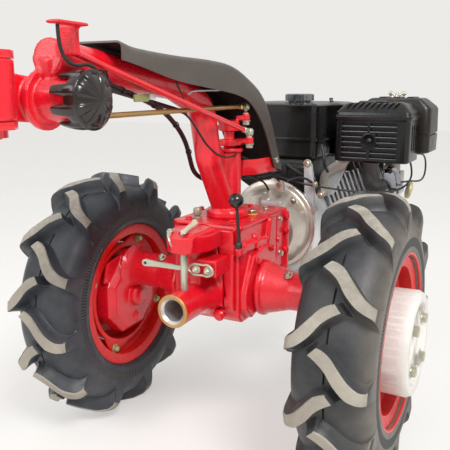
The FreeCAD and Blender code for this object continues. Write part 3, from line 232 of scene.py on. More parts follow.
class Look:
    """One procedural material, built node by node."""

    def __init__(self, name, rough, metal=0.0, **constants):
        self.material = bpy.data.materials.new(name)
        self.material.use_nodes = True
        self.tree = self.material.node_tree
        self.shader = self.tree.nodes["Principled BSDF"]
        self.shader.inputs["Metallic"].default_value = metal
        self.shader.inputs["Roughness"].default_value = rough
        for socket, value in constants.items():
            self.shader.inputs[socket.replace("_", " ")].default_value = value
        self.place = self.add("ShaderNodeTexCoord").outputs["Object"]
        self.normal = self.add("ShaderNodeNewGeometry").outputs["Normal"]

    def add(self, kind, sockets=(), **settings):
        return add_node(self.tree, kind, sockets, **settings)

    def math(self, operation, *values):
        return self.add("ShaderNodeMath", enumerate(values), operation=operation).outputs[0]

    def split(self, vector):
        return self.add("ShaderNodeSeparateXYZ", {0: vector}).outputs

    def noise(self, scale, detail=4, rough=0.6):
        sockets = {"Vector": self.place, "Scale": scale, "Detail": detail, "Roughness": rough}
        return self.add("ShaderNodeTexNoise", sockets).outputs["Fac"]

    def between(self, value, low, high, to_low=0.0, to_high=1.0):
        """The value from low to high, made to run between two others."""
        return self.add("ShaderNodeMapRange", enumerate((value, low, high, to_low, to_high))).outputs[0]

    def mix(self, amount, first, second):
        sockets = {0: amount, 6: colour(first), 7: colour(second)}
        return self.add("ShaderNodeMix", sockets, data_type="RGBA").outputs[2]

    def paint(self, value):
        self.tree.links.new(value, self.shader.inputs["Base Color"])

    def gloss(self, value):
        self.tree.links.new(value, self.shader.inputs["Roughness"])

    def relief(self, height, depth, strength=1.0):
        """Bump of the height, whose full range stands for the depth in metres, over any bump already there."""
        sockets = {"Strength": strength, "Distance": depth, "Height": height}
        below = self.shader.inputs["Normal"]
        if below.links:
            sockets["Normal"] = below.links[0].from_socket
        self.tree.links.new(self.add("ShaderNodeBump", sockets).outputs[0], below)


def weathered(name, base, dark, dusty, rough, metal, grain, dust, grain_scale=700, others=()):
    """Paint or metal whose colour drifts, with dust on what faces up and a fine grain."""
    look = Look(name, rough, metal, **dict(others))
    drift = look.between(look.noise(9, 5), 0.35, 0.65)
    body = look.mix(drift, dark, base)
    up = look.between(look.split(look.normal)[2], 0.1, 1.0, 0.0, dust)
    specks = look.between(look.noise(60, 8, 0.7), 0.42, 0.68)
    film = look.math("MULTIPLY", look.math("ADD", up, 0.12 * dust), specks)
    look.paint(look.mix(film, body, dusty))
    wear = look.between(look.noise(35, 6), 0.3, 0.7, rough * 0.8, rough * 1.25)
    look.gloss(look.math("ADD", wear, look.math("MULTIPLY", film, 0.3)))
    if grain:
        look.relief(look.noise(grain_scale, 3), grain)
    look.relief(look.noise(90, 2, 0.5), 0.0006, 0.25)
    return look.material


def tyre_rubber(name, side, rough, dark, pale, dusty):
    """Moulded rubber: bloom in patches, earth in the grooves and on the outboard flank."""
    look = Look(name, rough)
    bloom = look.between(look.noise(7, 5), 0.38, 0.66)
    body = look.mix(bloom, dark, pale)
    place = look.split(look.place)
    across = look.math("SUBTRACT", place[0], AXLE_X)
    above = look.math("SUBTRACT", place[2], WHEEL_Z)
    radius = look.math("SQRT", look.math("ADD", look.math("POWER", across, 2.0), look.math("POWER", above, 2.0)))
    outboard = look.math("MULTIPLY", look.math("SUBTRACT", place[1], side * HALF_TRACK), side)
    flank = look.math("MULTIPLY", look.between(outboard, 0.030, 0.066), look.between(radius, 0.275, 0.215))
    film = look.between(look.noise(28, 8, 0.7), 0.45, 0.8, 0.0, 0.35)
    streaks = look.between(look.noise(16, 7, 0.7), 0.30, 0.62, 0.35, 1.0)
    body = look.mix(film, body, (0.085, 0.078, 0.070))
    look.paint(look.mix(look.math("MULTIPLY", flank, streaks), body, dusty))
    look.gloss(look.between(look.noise(22, 6), 0.3, 0.7, rough * 0.8, rough * 1.3))
    look.relief(look.noise(260), 0.0004)
    look.relief(look.noise(30, 3, 0.5), 0.0015, 0.3)
    return look.material


def tyre_ribs(name):
    """The fine radial ribs of the ring above the bead, painted lighter on their crests and darker between them as
    painted light and shade.
    """
    look = Look(name, 0.55)
    around = look.split(look.place)
    turn = look.math("ARCTAN2", look.math("SUBTRACT", around[2], WHEEL_Z), look.math("SUBTRACT", around[0], AXLE_X))
    ridge = look.math("SINE", look.math("MULTIPLY", turn, 190))
    # The colour follows the ribs: painted highlight on the crests, painted shade in the troughs.
    look.paint(look.mix(look.between(ridge, -0.6, 0.8), (0.016, 0.017, 0.019), (0.060, 0.061, 0.063)))
    look.relief(ridge, 0.0012)
    return look.material


DUST = (0.42, 0.36, 0.29)
# Colour, its darker shade and its colour under dust; roughness, metal, depth of the grain, amount of dust,
# scale of the grain and other settings
LOOKS = {
    "red_casting": ((0.74, 0.008, 0.022), (0.58, 0.003, 0.012), (0.72, 0.06, 0.06), 0.24, 0, 0.0008, 0.1, 420, dict(
        Specular_IOR_Level=0.4, Coat_Weight=0.45, Coat_Roughness=0.1)),
    "red_sheet": ((0.72, 0.01, 0.02), (0.6, 0.008, 0.014), (0.72, 0.06, 0.06), 0.24, 0, 0, 0.1, 700, dict(
        Coat_Weight=0.5, Coat_Roughness=0.1)),
    "red_rim": ((0.68, 0.012, 0.012), (0.56, 0.008, 0.008), (0.55, 0.12, 0.07), 0.3, 0, 0.0004, 0.12, 700, dict(
        Specular_IOR_Level=0.4)),
    "white_enamel": ((0.74, 0.72, 0.68), (0.62, 0.6, 0.56), (0.34, 0.31, 0.27), 0.34, 0, 0.0005, 0.25),
    "tank_black": ((0.01, 0.009, 0.009), (0.004, 0.004, 0.004), DUST, 0.2, 0, 0, 0.05, 700, dict(
        Specular_IOR_Level=0.4)),
    "guard_black": ((0.009, 0.009, 0.009), (0.005, 0.005, 0.005), DUST, 0.42, 0, 0.0003, 0.1),
    "shield_paint": ((0.085, 0.07, 0.058), (0.065, 0.053, 0.045), DUST, 0.36, 0, 0.0002, 0.15),
    "frame_black": ((0.03, 0.029, 0.028), (0.018, 0.018, 0.018), DUST, 0.38, 0, 0.0003, 0.15),
    "cast_aluminium": ((0.66, 0.6, 0.54), (0.46, 0.41, 0.36), (0.26, 0.2, 0.15), 0.34, 0.8, 0.0008, 0.1, 500),
    "fin_aluminium": ((0.58, 0.6, 0.61), (0.42, 0.44, 0.45), (0.2, 0.19, 0.17), 0.42, 0.55, 0.0005, 0.1),
    "guard_gloss": ((0.008, 0.008, 0.009), (0.004, 0.004, 0.004), DUST, 0.24, 0, 0.0001, 0.04, 700, dict(
        Specular_IOR_Level=0.4)),
    "cleaner_black": ((0.014, 0.01, 0.008), (0.007, 0.005, 0.004), DUST, 0.3, 0, 0.0002, 0.05, 700, dict(
        Specular_IOR_Level=0.4)),
    "bell_aluminium": ((0.72, 0.65, 0.58), (0.52, 0.44, 0.37), (0.4, 0.29, 0.2), 0.33, 0.8, 0.0001, 0.08, 500),
    # Pale grey for the lips of the guard's louvres: a painted highlight on their black edges.
    "lip_highlight_grey": ((0.15, 0.165, 0.185), (0.09, 0.1, 0.115), DUST, 0.25, 0, 0, 0.05),
    "cap_metal": ((0.34, 0.36, 0.38), (0.05, 0.05, 0.055), DUST, 0.2, 0.9, 0, 0.04),
    "old_brass": ((0.4, 0.34, 0.26), (0.28, 0.23, 0.17), DUST, 0.42, 0.5, 0.0002, 0.1),
    "bright_aluminium": ((0.74, 0.75, 0.76), (0.5, 0.51, 0.52), (0.3, 0.28, 0.25), 0.38, 0.45, 0.0006, 0.06, 500),
    "copper": ((0.62, 0.3, 0.16), (0.44, 0.2, 0.1), DUST, 0.35, 0.8, 0, 0.08),
    "amber": ((0.55, 0.5, 0.28), (0.42, 0.38, 0.2), DUST, 0.25, 0.4, 0, 0.08),
    "brass_bright": ((0.78, 0.62, 0.24), (0.62, 0.46, 0.16), DUST, 0.28, 0.85, 0, 0.05),
    "white_plastic": ((0.66, 0.66, 0.64), (0.54, 0.54, 0.52), DUST, 0.4, 0, 0, 0.1),
    "olive": ((0.3, 0.29, 0.1), (0.2, 0.19, 0.07), DUST, 0.45, 0, 0, 0.1),
    "zinc_green": ((0.46, 0.52, 0.26), (0.34, 0.38, 0.2), DUST, 0.36, 0.5, 0, 0.08),
    "zinc_pale": ((0.6, 0.62, 0.5), (0.46, 0.48, 0.38), DUST, 0.36, 0.6, 0, 0.1),
    "bore_steel": ((0.8, 0.79, 0.77), (0.42, 0.4, 0.38), DUST, 0.34, 0.7, 0.0002, 0.04),
    "ochre_edge": ((0.52, 0.3, 0.1), (0.36, 0.2, 0.07), DUST, 0.4, 0.6, 0.0003, 0.1),
    "seal_yellow": ((0.72, 0.3, 0.03), (0.55, 0.2, 0.02), DUST, 0.45, 0, 0, 0.1),
    # Near-black put in holes, slots, the tyre's seam groove and under the shield: painted shade.
    "hole_black": ((0.006, 0.006, 0.006), (0.004, 0.004, 0.004), DUST, 0.8, 0, 0, 0.02),
    "black_knob": ((0.016, 0.011, 0.009), (0.007, 0.005, 0.005), DUST, 0.2, 0, 0, 0.05, 700, dict(
        Specular_IOR_Level=0.5, Coat_Weight=0.2, Coat_Roughness=0.08)),
    "steel": ((0.5, 0.49, 0.47), (0.38, 0.37, 0.35), DUST, 0.3, 0.95, 0.0002, 0.06),
    "dark_steel": ((0.075, 0.07, 0.066), (0.045, 0.042, 0.04), DUST, 0.5, 0.6, 0.0004, 0.1),
    "zinc": ((0.6, 0.58, 0.46), (0.5, 0.48, 0.38), DUST, 0.28, 0.9, 0, 0.08),
    "brass": ((0.6, 0.42, 0.16), (0.46, 0.31, 0.11), DUST, 0.3, 0.9, 0.0002, 0.08),
    "chrome": ((0.5, 0.51, 0.54), (0.34, 0.35, 0.38), DUST, 0.12, 1.0, 0, 0.04),
    "black_plastic": ((0.011, 0.011, 0.012), (0.006, 0.006, 0.006), DUST, 0.4, 0, 0.0003, 0.1),
    "rubber": ((0.03, 0.03, 0.031), (0.02, 0.02, 0.021), DUST, 0.62, 0, 0.0003, 0.25),
    "tyre_worn": ((0.36, 0.33, 0.275), (0.27, 0.245, 0.205), (0.1, 0.095, 0.085), 0.8, 0, 0.001, 0.5, 300),
    "cream_paint": ((0.62, 0.55, 0.42), (0.52, 0.46, 0.34), DUST, 0.35, 0, 0.0003, 0.1),
}
# Side, roughness, colour and its pale bloom, colour of the earth
TYRE_LOOKS = {
    "tyre_rubber_left": (1, 0.44, (0.020, 0.024, 0.031), (0.046, 0.052, 0.062), (0.10, 0.095, 0.09)),
    "tyre_rubber_right": (-1, 0.48, (0.022, 0.024, 0.028), (0.050, 0.050, 0.050), (0.150, 0.128, 0.104)),
}
made_looks = {}


def look(name):
    """The material of that name, made when it is first asked for."""
    if name not in made_looks:
        if name == "tyre_ribs":
            made_looks[name] = tyre_ribs(name)
        elif name in TYRE_LOOKS:
            made_looks[name] = tyre_rubber(name, *TYRE_LOOKS[name])
        else:
            made_looks[name] = weathered(name, *LOOKS[name])
    return made_looks[name]


# The look of each node that is carried over
NODE_LOOKS = {
    "rim": "red_rim", "disc": "red_rim", "hub": "steel", "weight": "white_enamel", "axle_tube": "red_casting",
    "final_drive": "red_casting", "tyre": "rubber", "gearbox_case": "red_casting", "front_case": "red_casting",
    "clutch_housing": "bell_aluminium", "engine_block": "bright_aluminium", "cylinder": "fin_aluminium",
    "valve_cover": "chrome", "fuel_tank": "tank_black", "muffler_guard": "guard_black",
    "air_cleaner": "black_plastic", "exhaust_pipe": "dark_steel", "carburettor": "cast_aluminium",
    "engine_shroud": "guard_black", "recoil_starter": "guard_black", "engine_bracket": "frame_black",
    "stand": "frame_black", "steering_column": "red_casting", "clamp_knob": "black_plastic",
    "yoke": "red_casting", "handlebar": "red_sheet", "grip": "rubber", "shield": "shield_paint",
    "shield_strap": "red_sheet", "selector_arms": "red_sheet", "hitch_socket": "red_casting",
    "hitch_pin": "zinc", "gear_lever": "black_plastic", "brass_rod": "brass", "red_rod": "red_sheet",
    "dark_rod": "dark_steel", "hitch_lever": "steel", "selector_lever": "cream_paint",
    "cable_harness": "black_plastic", "throttle_cable": "black_plastic", "clutch_lever": "black_plastic",
    "throttle_lever": "black_plastic",
}


def dress_nodes():
    for name, piece in frame["nodes"].items():
        kind = name.removesuffix("_left").removesuffix("_right")
        piece.data.materials.clear()
        piece.data.materials.append(look(NODE_LOOKS[kind]))


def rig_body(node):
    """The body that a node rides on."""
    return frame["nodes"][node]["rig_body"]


def slot_of(node):
    """The record's material slot of a node."""
    return next(part["material_slot"] for part in frame["record"]["subparts"] if part["node"] == node)


# Shapes
class Form:
    """A mesh under construction, from turned, extruded and swept pieces."""

    def __init__(self):
        self.mesh = bmesh.new()
        self.look = 0

    def add(self, points, faces, where=None):
        corners = [self.mesh.verts.new(where @ Vector(p) if where else p) for p in points]
        for face in faces:
            self.mesh.faces.new([corners[i] for i in face]).material_index = self.look

    def rings(self, points, count, where=None):
        """A closed solid through rings of so many points, flat at both ends."""
        last = len(points) - count
        faces = [list(range(count))[::-1], list(range(last, last + count))]
        for low in range(0, last, count):
            for i in range(count):
                j = (i + 1) % count
                faces.append((low + i, low + j, low + count + j, low + count + i))
        self.add(points, faces, where)

    def turned(self, outline, where, steps=32, closed=False):
        """An outline of (radius, height) points turned about the third axis."""
        points, rings = [], []
        for radius, height in outline:
            count = steps if radius > 1e-6 else 1
            rings.append(range(len(points), len(points) + count))
            turns = [2 * math.pi * i / steps for i in range(count)]
            points += [(radius * math.cos(t), radius * math.sin(t), height) for t in turns]
        pairs = list(zip(rings, rings[1:])) + ([(rings[-1], rings[0])] if closed else [])
        faces = []
        for low, high in pairs:
            for i in range(steps):
                ends = [low[i % len(low)], low[(i + 1) % len(low)], high[(i + 1) % len(high)], high[i % len(high)]]
                ends = list(dict.fromkeys(ends))
                if len(ends) > 2:
                    faces.append(ends)
        self.add(points, faces, where)

    def pin(self, radius, height, where, steps=20):
        """A plain round pin."""
        self.turned([(0, 0), (radius, 0), (radius, height), (0, height)], where, steps)

    def prism(self, outline, depth, where, taper=1.0):
        """An outline thickened along the third axis, its far end drawn in by the taper."""
        points = [(x, y, 0) for x, y in outline] + [(x * taper, y * taper, depth) for x, y in outline]
        self.rings(points, len(outline), where)

    def layers(self, outlines, where=None):
        """A closed solid through flat outlines of equal count, each after its height; millimetres without a frame."""
        points = [(x, y, z) if where else mm(x, y, z) for z, outline in outlines for x, y in outline]
        self.rings(points, len(outlines[0][1]), where)

    def block(self, low, high):
        """A block between two corners in millimetres."""
        low, high = mm(*low), mm(*high)
        x, y, z = (b - a for a, b in zip(low, high))
        self.prism([(0, 0), (x, 0), (x, y), (0, y)], z, Matrix.Translation(low))

    def swept(self, path, radius, steps=12, flat=1.0):
        """A round or flattened section carried along a path, with closed ends."""
        path = [Vector(p) for p in path]
        radii = radius if isinstance(radius, (list, tuple)) else [radius] * len(path)
        ways = [(b - a).normalized() for a, b in zip(path, path[1:])]
        ways = [ways[0]] + [(a + b).normalized() for a, b in zip(ways, ways[1:])] + [ways[-1]]
        across = ways[0].orthogonal().normalized()
        points = []
        for place, way, reach in zip(path, ways, radii):
            across = (across - way * across.dot(way)).normalized()
            other = way.cross(across)
            for i in range(steps):
                turn = 2 * math.pi * i / steps
                points.append(place + across * (reach * math.cos(turn)) + other * (reach * flat * math.sin(turn)))
        self.rings(points, steps)

    def sheet(self, rows, look_of=None):
        """A sheet through rows of points; look_of picks a face's material from its row and column."""
        wide = len(rows[0])
        corners = [self.mesh.verts.new(p) for row in rows for p in row]
        for r in range(len(rows) - 1):
            for c in range(wide - 1):
                low, high = r * wide + c, (r + 1) * wide + c
                face = self.mesh.faces.new((corners[low], corners[low + 1], corners[high + 1], corners[high]))
                face.material_index = look_of(r, c) if look_of else self.look

    def data(self, name):
        """The mesh itself, with all its faces turned outward."""
        bmesh.ops.recalc_face_normals(self.mesh, faces=self.mesh.faces)
        return mesh_data(self.mesh, name)

    def done(self, name, looks, slot, smooth=38, bevel=0.0, steps=2, body="machine"):
        """Close the mesh into a piece that rides on a body."""
        return finished(name, self.data(name), body, looks, slot, smooth, bevel, steps)

    def stands_for(self, node, name, looks, smooth=38, bevel=0.0):
        """Close the mesh into the piece that is shown in a node's place."""
        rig.replaces(self.done(name, looks, slot_of(node), smooth, bevel, 2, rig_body(node)), node)


def mesh_data(mesh, name):
    data = bpy.data.meshes.new(name)
    mesh.to_mesh(data)
    mesh.free()
    return data


def finished(name, data, body, looks, slot, smooth=38, bevel=0.0, steps=2):
    """A mesh made into a piece: its edges rounded, shaded, dressed and riding on a body."""
    piece = new_object(name, data)
    for each in [looks] if isinstance(looks, str) else looks:
        data.materials.append(look(each))
    if bevel:
        rounding = piece.modifiers.new("rounding", "BEVEL")
        rounding.width = bevel
        rounding.segments = steps
        rounding.limit_method = "ANGLE"
        rounding.angle_limit = math.radians(smooth)
        apply_all(piece)
    shade(piece, smooth)
    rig.ride(piece, body)
    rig.slot(piece, slot)
    return piece


def shade(piece, angle):
    """Smooth shading with sharp edges from the angle on, in degrees."""
    piece.data.shade_smooth()
    piece.data.set_sharp_from_angle(angle=math.radians(angle))


def apply_all(piece):
    """The piece's modifiers made part of its mesh."""
    bpy.context.view_layer.update()
    solid = piece.evaluated_get(bpy.context.evaluated_depsgraph_get())
    made = bpy.data.meshes.new_from_object(solid)
    piece.modifiers.clear()
    piece.data = made


def toward(place, way, turn=0.0):
    """A frame whose third axis points along the way, from the place."""
    aimed = Vector(way).to_track_quat("Z", "Y").to_matrix().to_4x4()
    return Matrix.Translation(place) @ aimed @ Matrix.Rotation(turn, 4, "Z")


def facing_ahead(place):
    """A frame whose axes point left, up and ahead, from the place."""
    return Matrix.Translation(place) @ Matrix(((0, 0, 1, 0), (1, 0, 0, 0), (0, 1, 0, 0), (0, 0, 0, 1)))


def smooth_line(points, between=4):
    """Points of a smooth curve through the given ones."""
    points = [Vector(p) for p in points]
    ends = [points[0] * 2 - points[1]] + points + [points[-1] * 2 - points[-2]]
    line = []
    for a, b, c, d in zip(ends, ends[1:], ends[2:], ends[3:]):
        for i in range(between):
            t = i / between
            bend, twist = 2 * a - 5 * b + 4 * c - d, 3 * b - a - 3 * c + d
            line.append(0.5 * ((2 * b) + (c - a) * t + bend * t * t + twist * t ** 3))
    return line + [points[-1]]


def mm_line(points, between=4):
    """A smooth curve through places given in millimetres."""
    return smooth_line([mm(*p) for p in points], between)


def rounded(corners, radius, steps=5):
    """A closed outline with its corners rounded."""
    line = []
    for before, corner, after in zip(corners[-1:] + corners[:-1], corners, corners[1:] + corners[:1]):
        corner = Vector(corner)
        one = corner + (Vector(before) - corner).normalized() * radius
        two = corner + (Vector(after) - corner).normalized() * radius
        for i in range(steps + 1):
            t = i / steps
            line.append(tuple(one * (1 - t) ** 2 + corner * (2 * t * (1 - t)) + two * t ** 2))
    return line


def panel(x0, y0, x1, y1, radius, steps=5):
    """A rectangle between two corners, with its own corners rounded."""
    return rounded([(x0, y0), (x1, y0), (x1, y1), (x0, y1)], radius, steps)


def in_place_of(piece, node):
    """The piece rides on the node's body, takes its slot and is shown in its place."""
    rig.ride(piece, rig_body(node))
    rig.slot(piece, slot_of(node))
    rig.replaces(piece, node)


def node_copy(node, name):
    """The node's mesh with its flat faces whole, for a finer piece in its place."""
    mesh = bmesh.new()
    mesh.from_mesh(frame["nodes"][node].data)
    bmesh.ops.remove_doubles(mesh, verts=mesh.verts, dist=1e-5)
    bmesh.ops.dissolve_limit(mesh, angle_limit=math.radians(0.6), verts=mesh.verts, edges=mesh.edges)
    return mesh_data(mesh, name)


def eased(node, look_name, width):
    """The node's own shape with its sharp edges rounded."""
    name = f"{node}_eased"
    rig.replaces(finished(name, node_copy(node, name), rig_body(node), look_name, slot_of(node), 38, width), node)


def cast(node, look_name, grid, passes):
    """The node's own shape with its edges and corners blended like a casting's."""
    name = f"{node}_cast"
    data = node_copy(node, name)
    piece = new_object(name, data)
    data.materials.append(look(look_name))
    remesh = piece.modifiers.new("remesh", "REMESH")
    remesh.mode = "VOXEL"
    remesh.voxel_size = grid
    blend = piece.modifiers.new("blend", "SMOOTH")
    blend.factor = 0.5
    blend.iterations = passes
    apply_all(piece)
    piece.data.shade_smooth()
    in_place_of(piece, node)


# Fastenings
def bolt(form, place, way, across, tall, washer=True, turn=0.3):
    """A hexagon head on its washer, sizes in millimetres."""
    where = toward(place, way, turn)
    half, high = across / 2000, tall / 1000
    seat = 0.0
    if washer:
        form.turned([(0, 0), (half * 1.55, 0), (half * 1.6, 0.0004), (half * 1.5, 0.0016), (0, 0.0016)], where, 20)
        seat = 0.0012
    reach = half / math.cos(math.pi / 6)
    corners = [(reach * math.cos(math.pi / 3 * i), reach * math.sin(math.pi / 3 * i)) for i in range(6)]
    form.prism(corners, high * 0.82, where @ Matrix.Translation((0, 0, seat)))
    form.prism(corners, high * 0.18, where @ Matrix.Translation((0, 0, seat + high * 0.82)), 0.86)


def bolt_rows(name, rows, look_name, slot, bevel):
    """Bolts in one piece: each one's place in millimetres, way out, width across the flats and height."""
    form = Form()
    for place, *rest in rows:
        bolt(form, mm(*place), *rest)
    form.done(name, look_name, slot, 30, bevel)


# Castings: grid and passes of blending, in the node's own shape
CASTINGS = (
    ("gearbox_case", "red_casting", 0.0024, 8), ("front_case", "red_casting", 0.0026, 6),
    ("axle_tube_left", "red_casting", 0.0030, 6), ("axle_tube_right", "red_casting", 0.0030, 6),
    ("final_drive_left", "red_casting", 0.0022, 4), ("final_drive_right", "red_casting", 0.0022, 4),
    ("clutch_housing", "bell_aluminium", 0.0024, 5), ("steering_column", "red_casting", 0.0024, 4),
    ("yoke", "red_casting", 0.0024, 5),
)
# Nodes whose own edges are only rounded, and by how much
EASED = (
    ("engine_block", "bright_aluminium", 0.0025), ("engine_shroud", "guard_black", 0.004),
    ("recoil_starter", "guard_gloss", 0.0015), ("engine_bracket", "frame_black", 0.0015),
    ("stand", "frame_black", 0.002), ("shield_strap", "red_sheet", 0.0008), ("carburettor", "cast_aluminium", 0.002),
    ("cylinder", "fin_aluminium", 0.0008), ("handlebar", "red_sheet", 0.0015), ("weight_left", "white_enamel", 0.002),
    ("weight_right", "white_enamel", 0.002), ("rim_left", "red_rim", 0.0012), ("rim_right", "red_rim", 0.0012),
    ("disc_left", "red_rim", 0.002), ("disc_right", "red_rim", 0.002),
)


def castings():
    for row in CASTINGS:
        cast(*row)
    for row in EASED:
        eased(*row)


# Tyres. A lug's two edges from its nose to its foot: back along the tread and out from
# the middle plane along the tyre's section, leading edge then trailing edge
LUG_STATIONS = (
    ((0, -10), (15, -24)), ((3, 0), (25, -8)), ((12, 14), (38, 7)), ((32, 31), (60, 23)), ((51, 48), (78, 42)),
    ((64, 64), (87, 59)), ((69, 82), (93, 80)), ((67, 96), (97, 94)), ((62, 110), (103, 110)), ((55, 124), (110, 124)),
)
# Across a lug: share of the way over, millimetres beyond the edge, share of its height
LUG_SECTION = (
    (0, 9, -0.08), (0, 4.5, 0.10), (0, 1.8, 0.42), (0, 0.3, 0.90), (0, -1.8, 1.0), (0.5, 0, 1.0),
    (1, 1.8, 1.0), (1, -0.3, 0.90), (1, -1.8, 0.42), (1, -4.5, 0.10), (1, -9, -0.08),
)
LUGS = 12
# Along the section from the middle plane: arc length, radius and side, of the lugs' tops and of the carcass
LUG_TOP = (
    (0, 290, 0), (44, 289.5, 44), (64, 281, 63), (78, 270, 72.5), (96, 252, 76), (112, 236, 76.5), (126, 222, 76),
)
CARCASS = (
    (0, 263, 0), (24, 262, 24), (44, 258, 43), (64, 248, 59), (78, 240, 66), (96, 229, 71.5), (112, 219, 74.3),
    (126, 207, 75.4), (142, 196, 75), (150, 189, 74.2), (152, 188, 75.2), (162, 178, 74.2), (164, 177, 73),
    (172, 172.5, 69), (178, 171.5, 64), (184, 171, 61.2),
)
# The groove of the mould's seam, its shoulder and its foot: radius and side
SEAM = [(263, 1.9), (260.6, 0.9)]
# Reach from the axle of the ribbed ring and of the seam's foot, in metres
RIB_RING, SEAM_FOOT = (0.1885, 0.2045), (0.2595, 0.2628)
# Side, name and the tread's turn of each wheel
WHEELS = ((1, "left", math.radians(6.7)), (-1, "right", 0.0))


def along(table, arc):
    """The table's radius and side at an arc length, either side of the middle plane."""
    far = abs(arc)
    for (a, r0, y0), (b, r1, y1) in zip(table, table[1:]):
        if far <= b:
            break
    t = min(1.0, (far - a) / (b - a))
    side = y0 + (y1 - y0) * t
    return r0 + (r1 - r0) * t, math.copysign(side, arc)


def tread_point(back, arc, share, side):
    """A point on the tyre, a share of the way from the carcass to the lugs' tops."""
    low, high = along(CARCASS, arc), along(LUG_TOP, arc)
    radius = low[0] + (high[0] - low[0]) * share
    out = low[1] + (high[1] - low[1]) * share
    turn = back / LUG_TOP[0][1]
    return radius * math.cos(turn), radius * math.sin(turn), out * side


def lug_rows():
    """Rows of (back, arc, share of height) across a lug, from ahead of its nose to its foot."""
    leading = smooth_line([(x, y, 0) for (x, y), _ in LUG_STATIONS], 3)
    trailing = smooth_line([(x, y, 0) for _, (x, y) in LUG_STATIONS], 3)
    rows = []
    for index, (one, two) in enumerate(zip(leading, trailing)):
        over = two - one
        unit = over.normalized()
        foot = max(0.0, (index - 20) / 7)
        row = []
        for share, beyond, height in LUG_SECTION:
            place = one + over * share - unit * (beyond * (1.0 + 0.6 * foot))
            row.append((place.x, place.y, height if height < 0 else height * (1 - foot ** 2)))
        rows.append(row)
    # The nose, whose rows shift ahead as they sink into the carcass
    ahead = (leading[0] - leading[1]).normalized() * 0.7 + Vector((-0.5, -0.4, 0))
    for reach, height in ((1.5, 0.86), (3.5, 0.40), (7, 0.10), (11, -0.08)):
        shift = [(x + ahead.x * reach * 0.5, y + ahead.y * reach * 0.5, min(h, height)) for x, y, h in rows[0]]
        rows.insert(0, shift)
    return rows


def tyre(side, hand, turned_by):
    """Carcass with its seam and bead, and two rows of lugs half a pitch apart."""
    form = Form()
    rows = lug_rows()
    half_step = math.pi / LUGS
    for flank, lead in ((side, half_step), (-side, 0.0)):
        for index in range(LUGS):
            turn = Matrix.Rotation(index * 2 * half_step + lead + turned_by, 3, "Z") @ Matrix.Scale(-1, 3, (0, 1, 0))
            placed = [[turn @ Vector(tread_point(b, a, h, flank)) / 1000 for b, a, h in row] for row in rows]
            form.sheet(placed, lambda r, c: int(3 <= c <= 5 and 4 <= r <= 22))
    outer = [(r, y) for _, r, y in CARCASS][:0:-1]
    outline = [(r / 1000, y / 1000) for r, y in outer + SEAM]
    form.turned(outline + [(r, -y) for r, y in outline[::-1]], None, 144)
    for face in form.mesh.faces:
        middle = face.calc_center_median()
        reach = math.hypot(middle.x, middle.y)
        if RIB_RING[0] < reach < RIB_RING[1] and abs(middle.z) > 0.07:
            face.material_index = 2
        # The seam's foot takes the near-black look: painted shade in the groove.
        if SEAM_FOOT[0] < reach < SEAM_FOOT[1] and abs(middle.z) < 0.0019:
            face.material_index = 3
    where = Matrix.Translation((AXLE_X, side * HALF_TRACK, WHEEL_Z)) @ Matrix.Rotation(-math.pi / 2, 4, "X")
    form.mesh.transform(where)
    looks = (f"tyre_rubber_{hand}", "tyre_worn", "tyre_ribs", "hole_black")
    piece = form.done(f"tread_{hand}", looks, "tyre", 50, body=f"wheel_{hand}")
    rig.replaces(piece, f"tyre_{hand}")


# Turn of the first ear of the disc, and how far its bolts are from the axle line
EAR_TURN, EAR_REACH = math.radians(67), 138
QUARTERS = [index * math.pi / 2 for index in range(4)]


def round_axle(reach, turn, out):
    """A place at a reach and turn about the wheels' axis and a distance to the left, in millimetres."""
    return mm(reach * math.cos(turn), out, WHEEL_UP + reach * math.sin(turn))


def wheel_details(side, hand):
    """Lip of the rim, ear bolts, clips on the barrel, valve and the weight's bolts."""
    body, outward = f"wheel_{hand}", (0, side, 0)
    bolts = Form()
    for quarter in QUARTERS:
        turn = EAR_TURN + quarter
        bolt(bolts, round_axle(EAR_REACH, turn, side * 275.8), (0, -side, 0), 14, 8, True, turn)
        bolt(bolts, round_axle(EAR_REACH, turn, side * 284.5), outward, 14, 8, True, turn)
    lip = Form()
    outline = [
        (0.1722, -0.002), (0.1722, 0.0010), (0.1735, 0.0026), (0.1760, 0.0030), (0.1782, 0.0018), (0.1786, -0.002),
    ]
    lip.turned(outline, toward(mm(0, side * (HALF_TRACK * 1000 + 71.5), WHEEL_UP), outward), 144, True)
    lip.done(f"rim_lip_{hand}", "red_rim", "red_paint", 50, body=body)
    bolts.done(f"ear_bolts_{hand}", "zinc_green", "zinc", 30, 0.0003, 1, body)
    clips = Form()
    for quarter in QUARTERS:
        turn = EAR_TURN + quarter + 0.20
        where = toward(round_axle(151, turn, side * 284), (-math.cos(turn), 0, -math.sin(turn)))
        clips.prism(panel(-0.007, -0.011, 0.007, 0.011, 0.002), 0.003, where)
    clips.done(f"balance_clips_{hand}", "zinc_pale", "zinc", 30, 0.0004, 1, body)
    valve = Form()
    turn = math.radians(200)
    way = (-0.35 * math.cos(turn), side * 0.94, -0.35 * math.sin(turn))
    where = toward(round_axle(150, turn, side * 352), way)
    outline = [(0, -0.004), (0.0062, -0.004), (0.0056, 0.006), (0.0040, 0.010), (0.0040, 0.024), (0, 0.024)]
    valve.turned(outline, where, 20)
    valve.look = 1
    valve.turned([(0, 0.022), (0.0050, 0.022), (0.0050, 0.032), (0.0040, 0.034), (0, 0.034)], where, 20)
    valve.done(f"valve_{hand}", ("rubber", "black_plastic"), "rubber", 40, body=body)
    low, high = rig.box(f"weight_{hand}")
    face = high.y if side > 0 else low.y
    nuts = Form()
    for quarter in QUARTERS:
        turn = math.radians(45) + quarter
        place = at(0.058 * math.cos(turn), face - side * 0.004, WHEEL_Z + 0.058 * math.sin(turn))
        bolt(nuts, place, outward, 19, 10, True, turn)
    nuts.done(f"weight_bolts_{hand}", "zinc", "zinc", 30, 0.0004, 1, body)


def wheels():
    for wheel in WHEELS:
        tyre(*wheel)
    for side, hand, _ in WHEELS:
        wheel_details(side, hand)


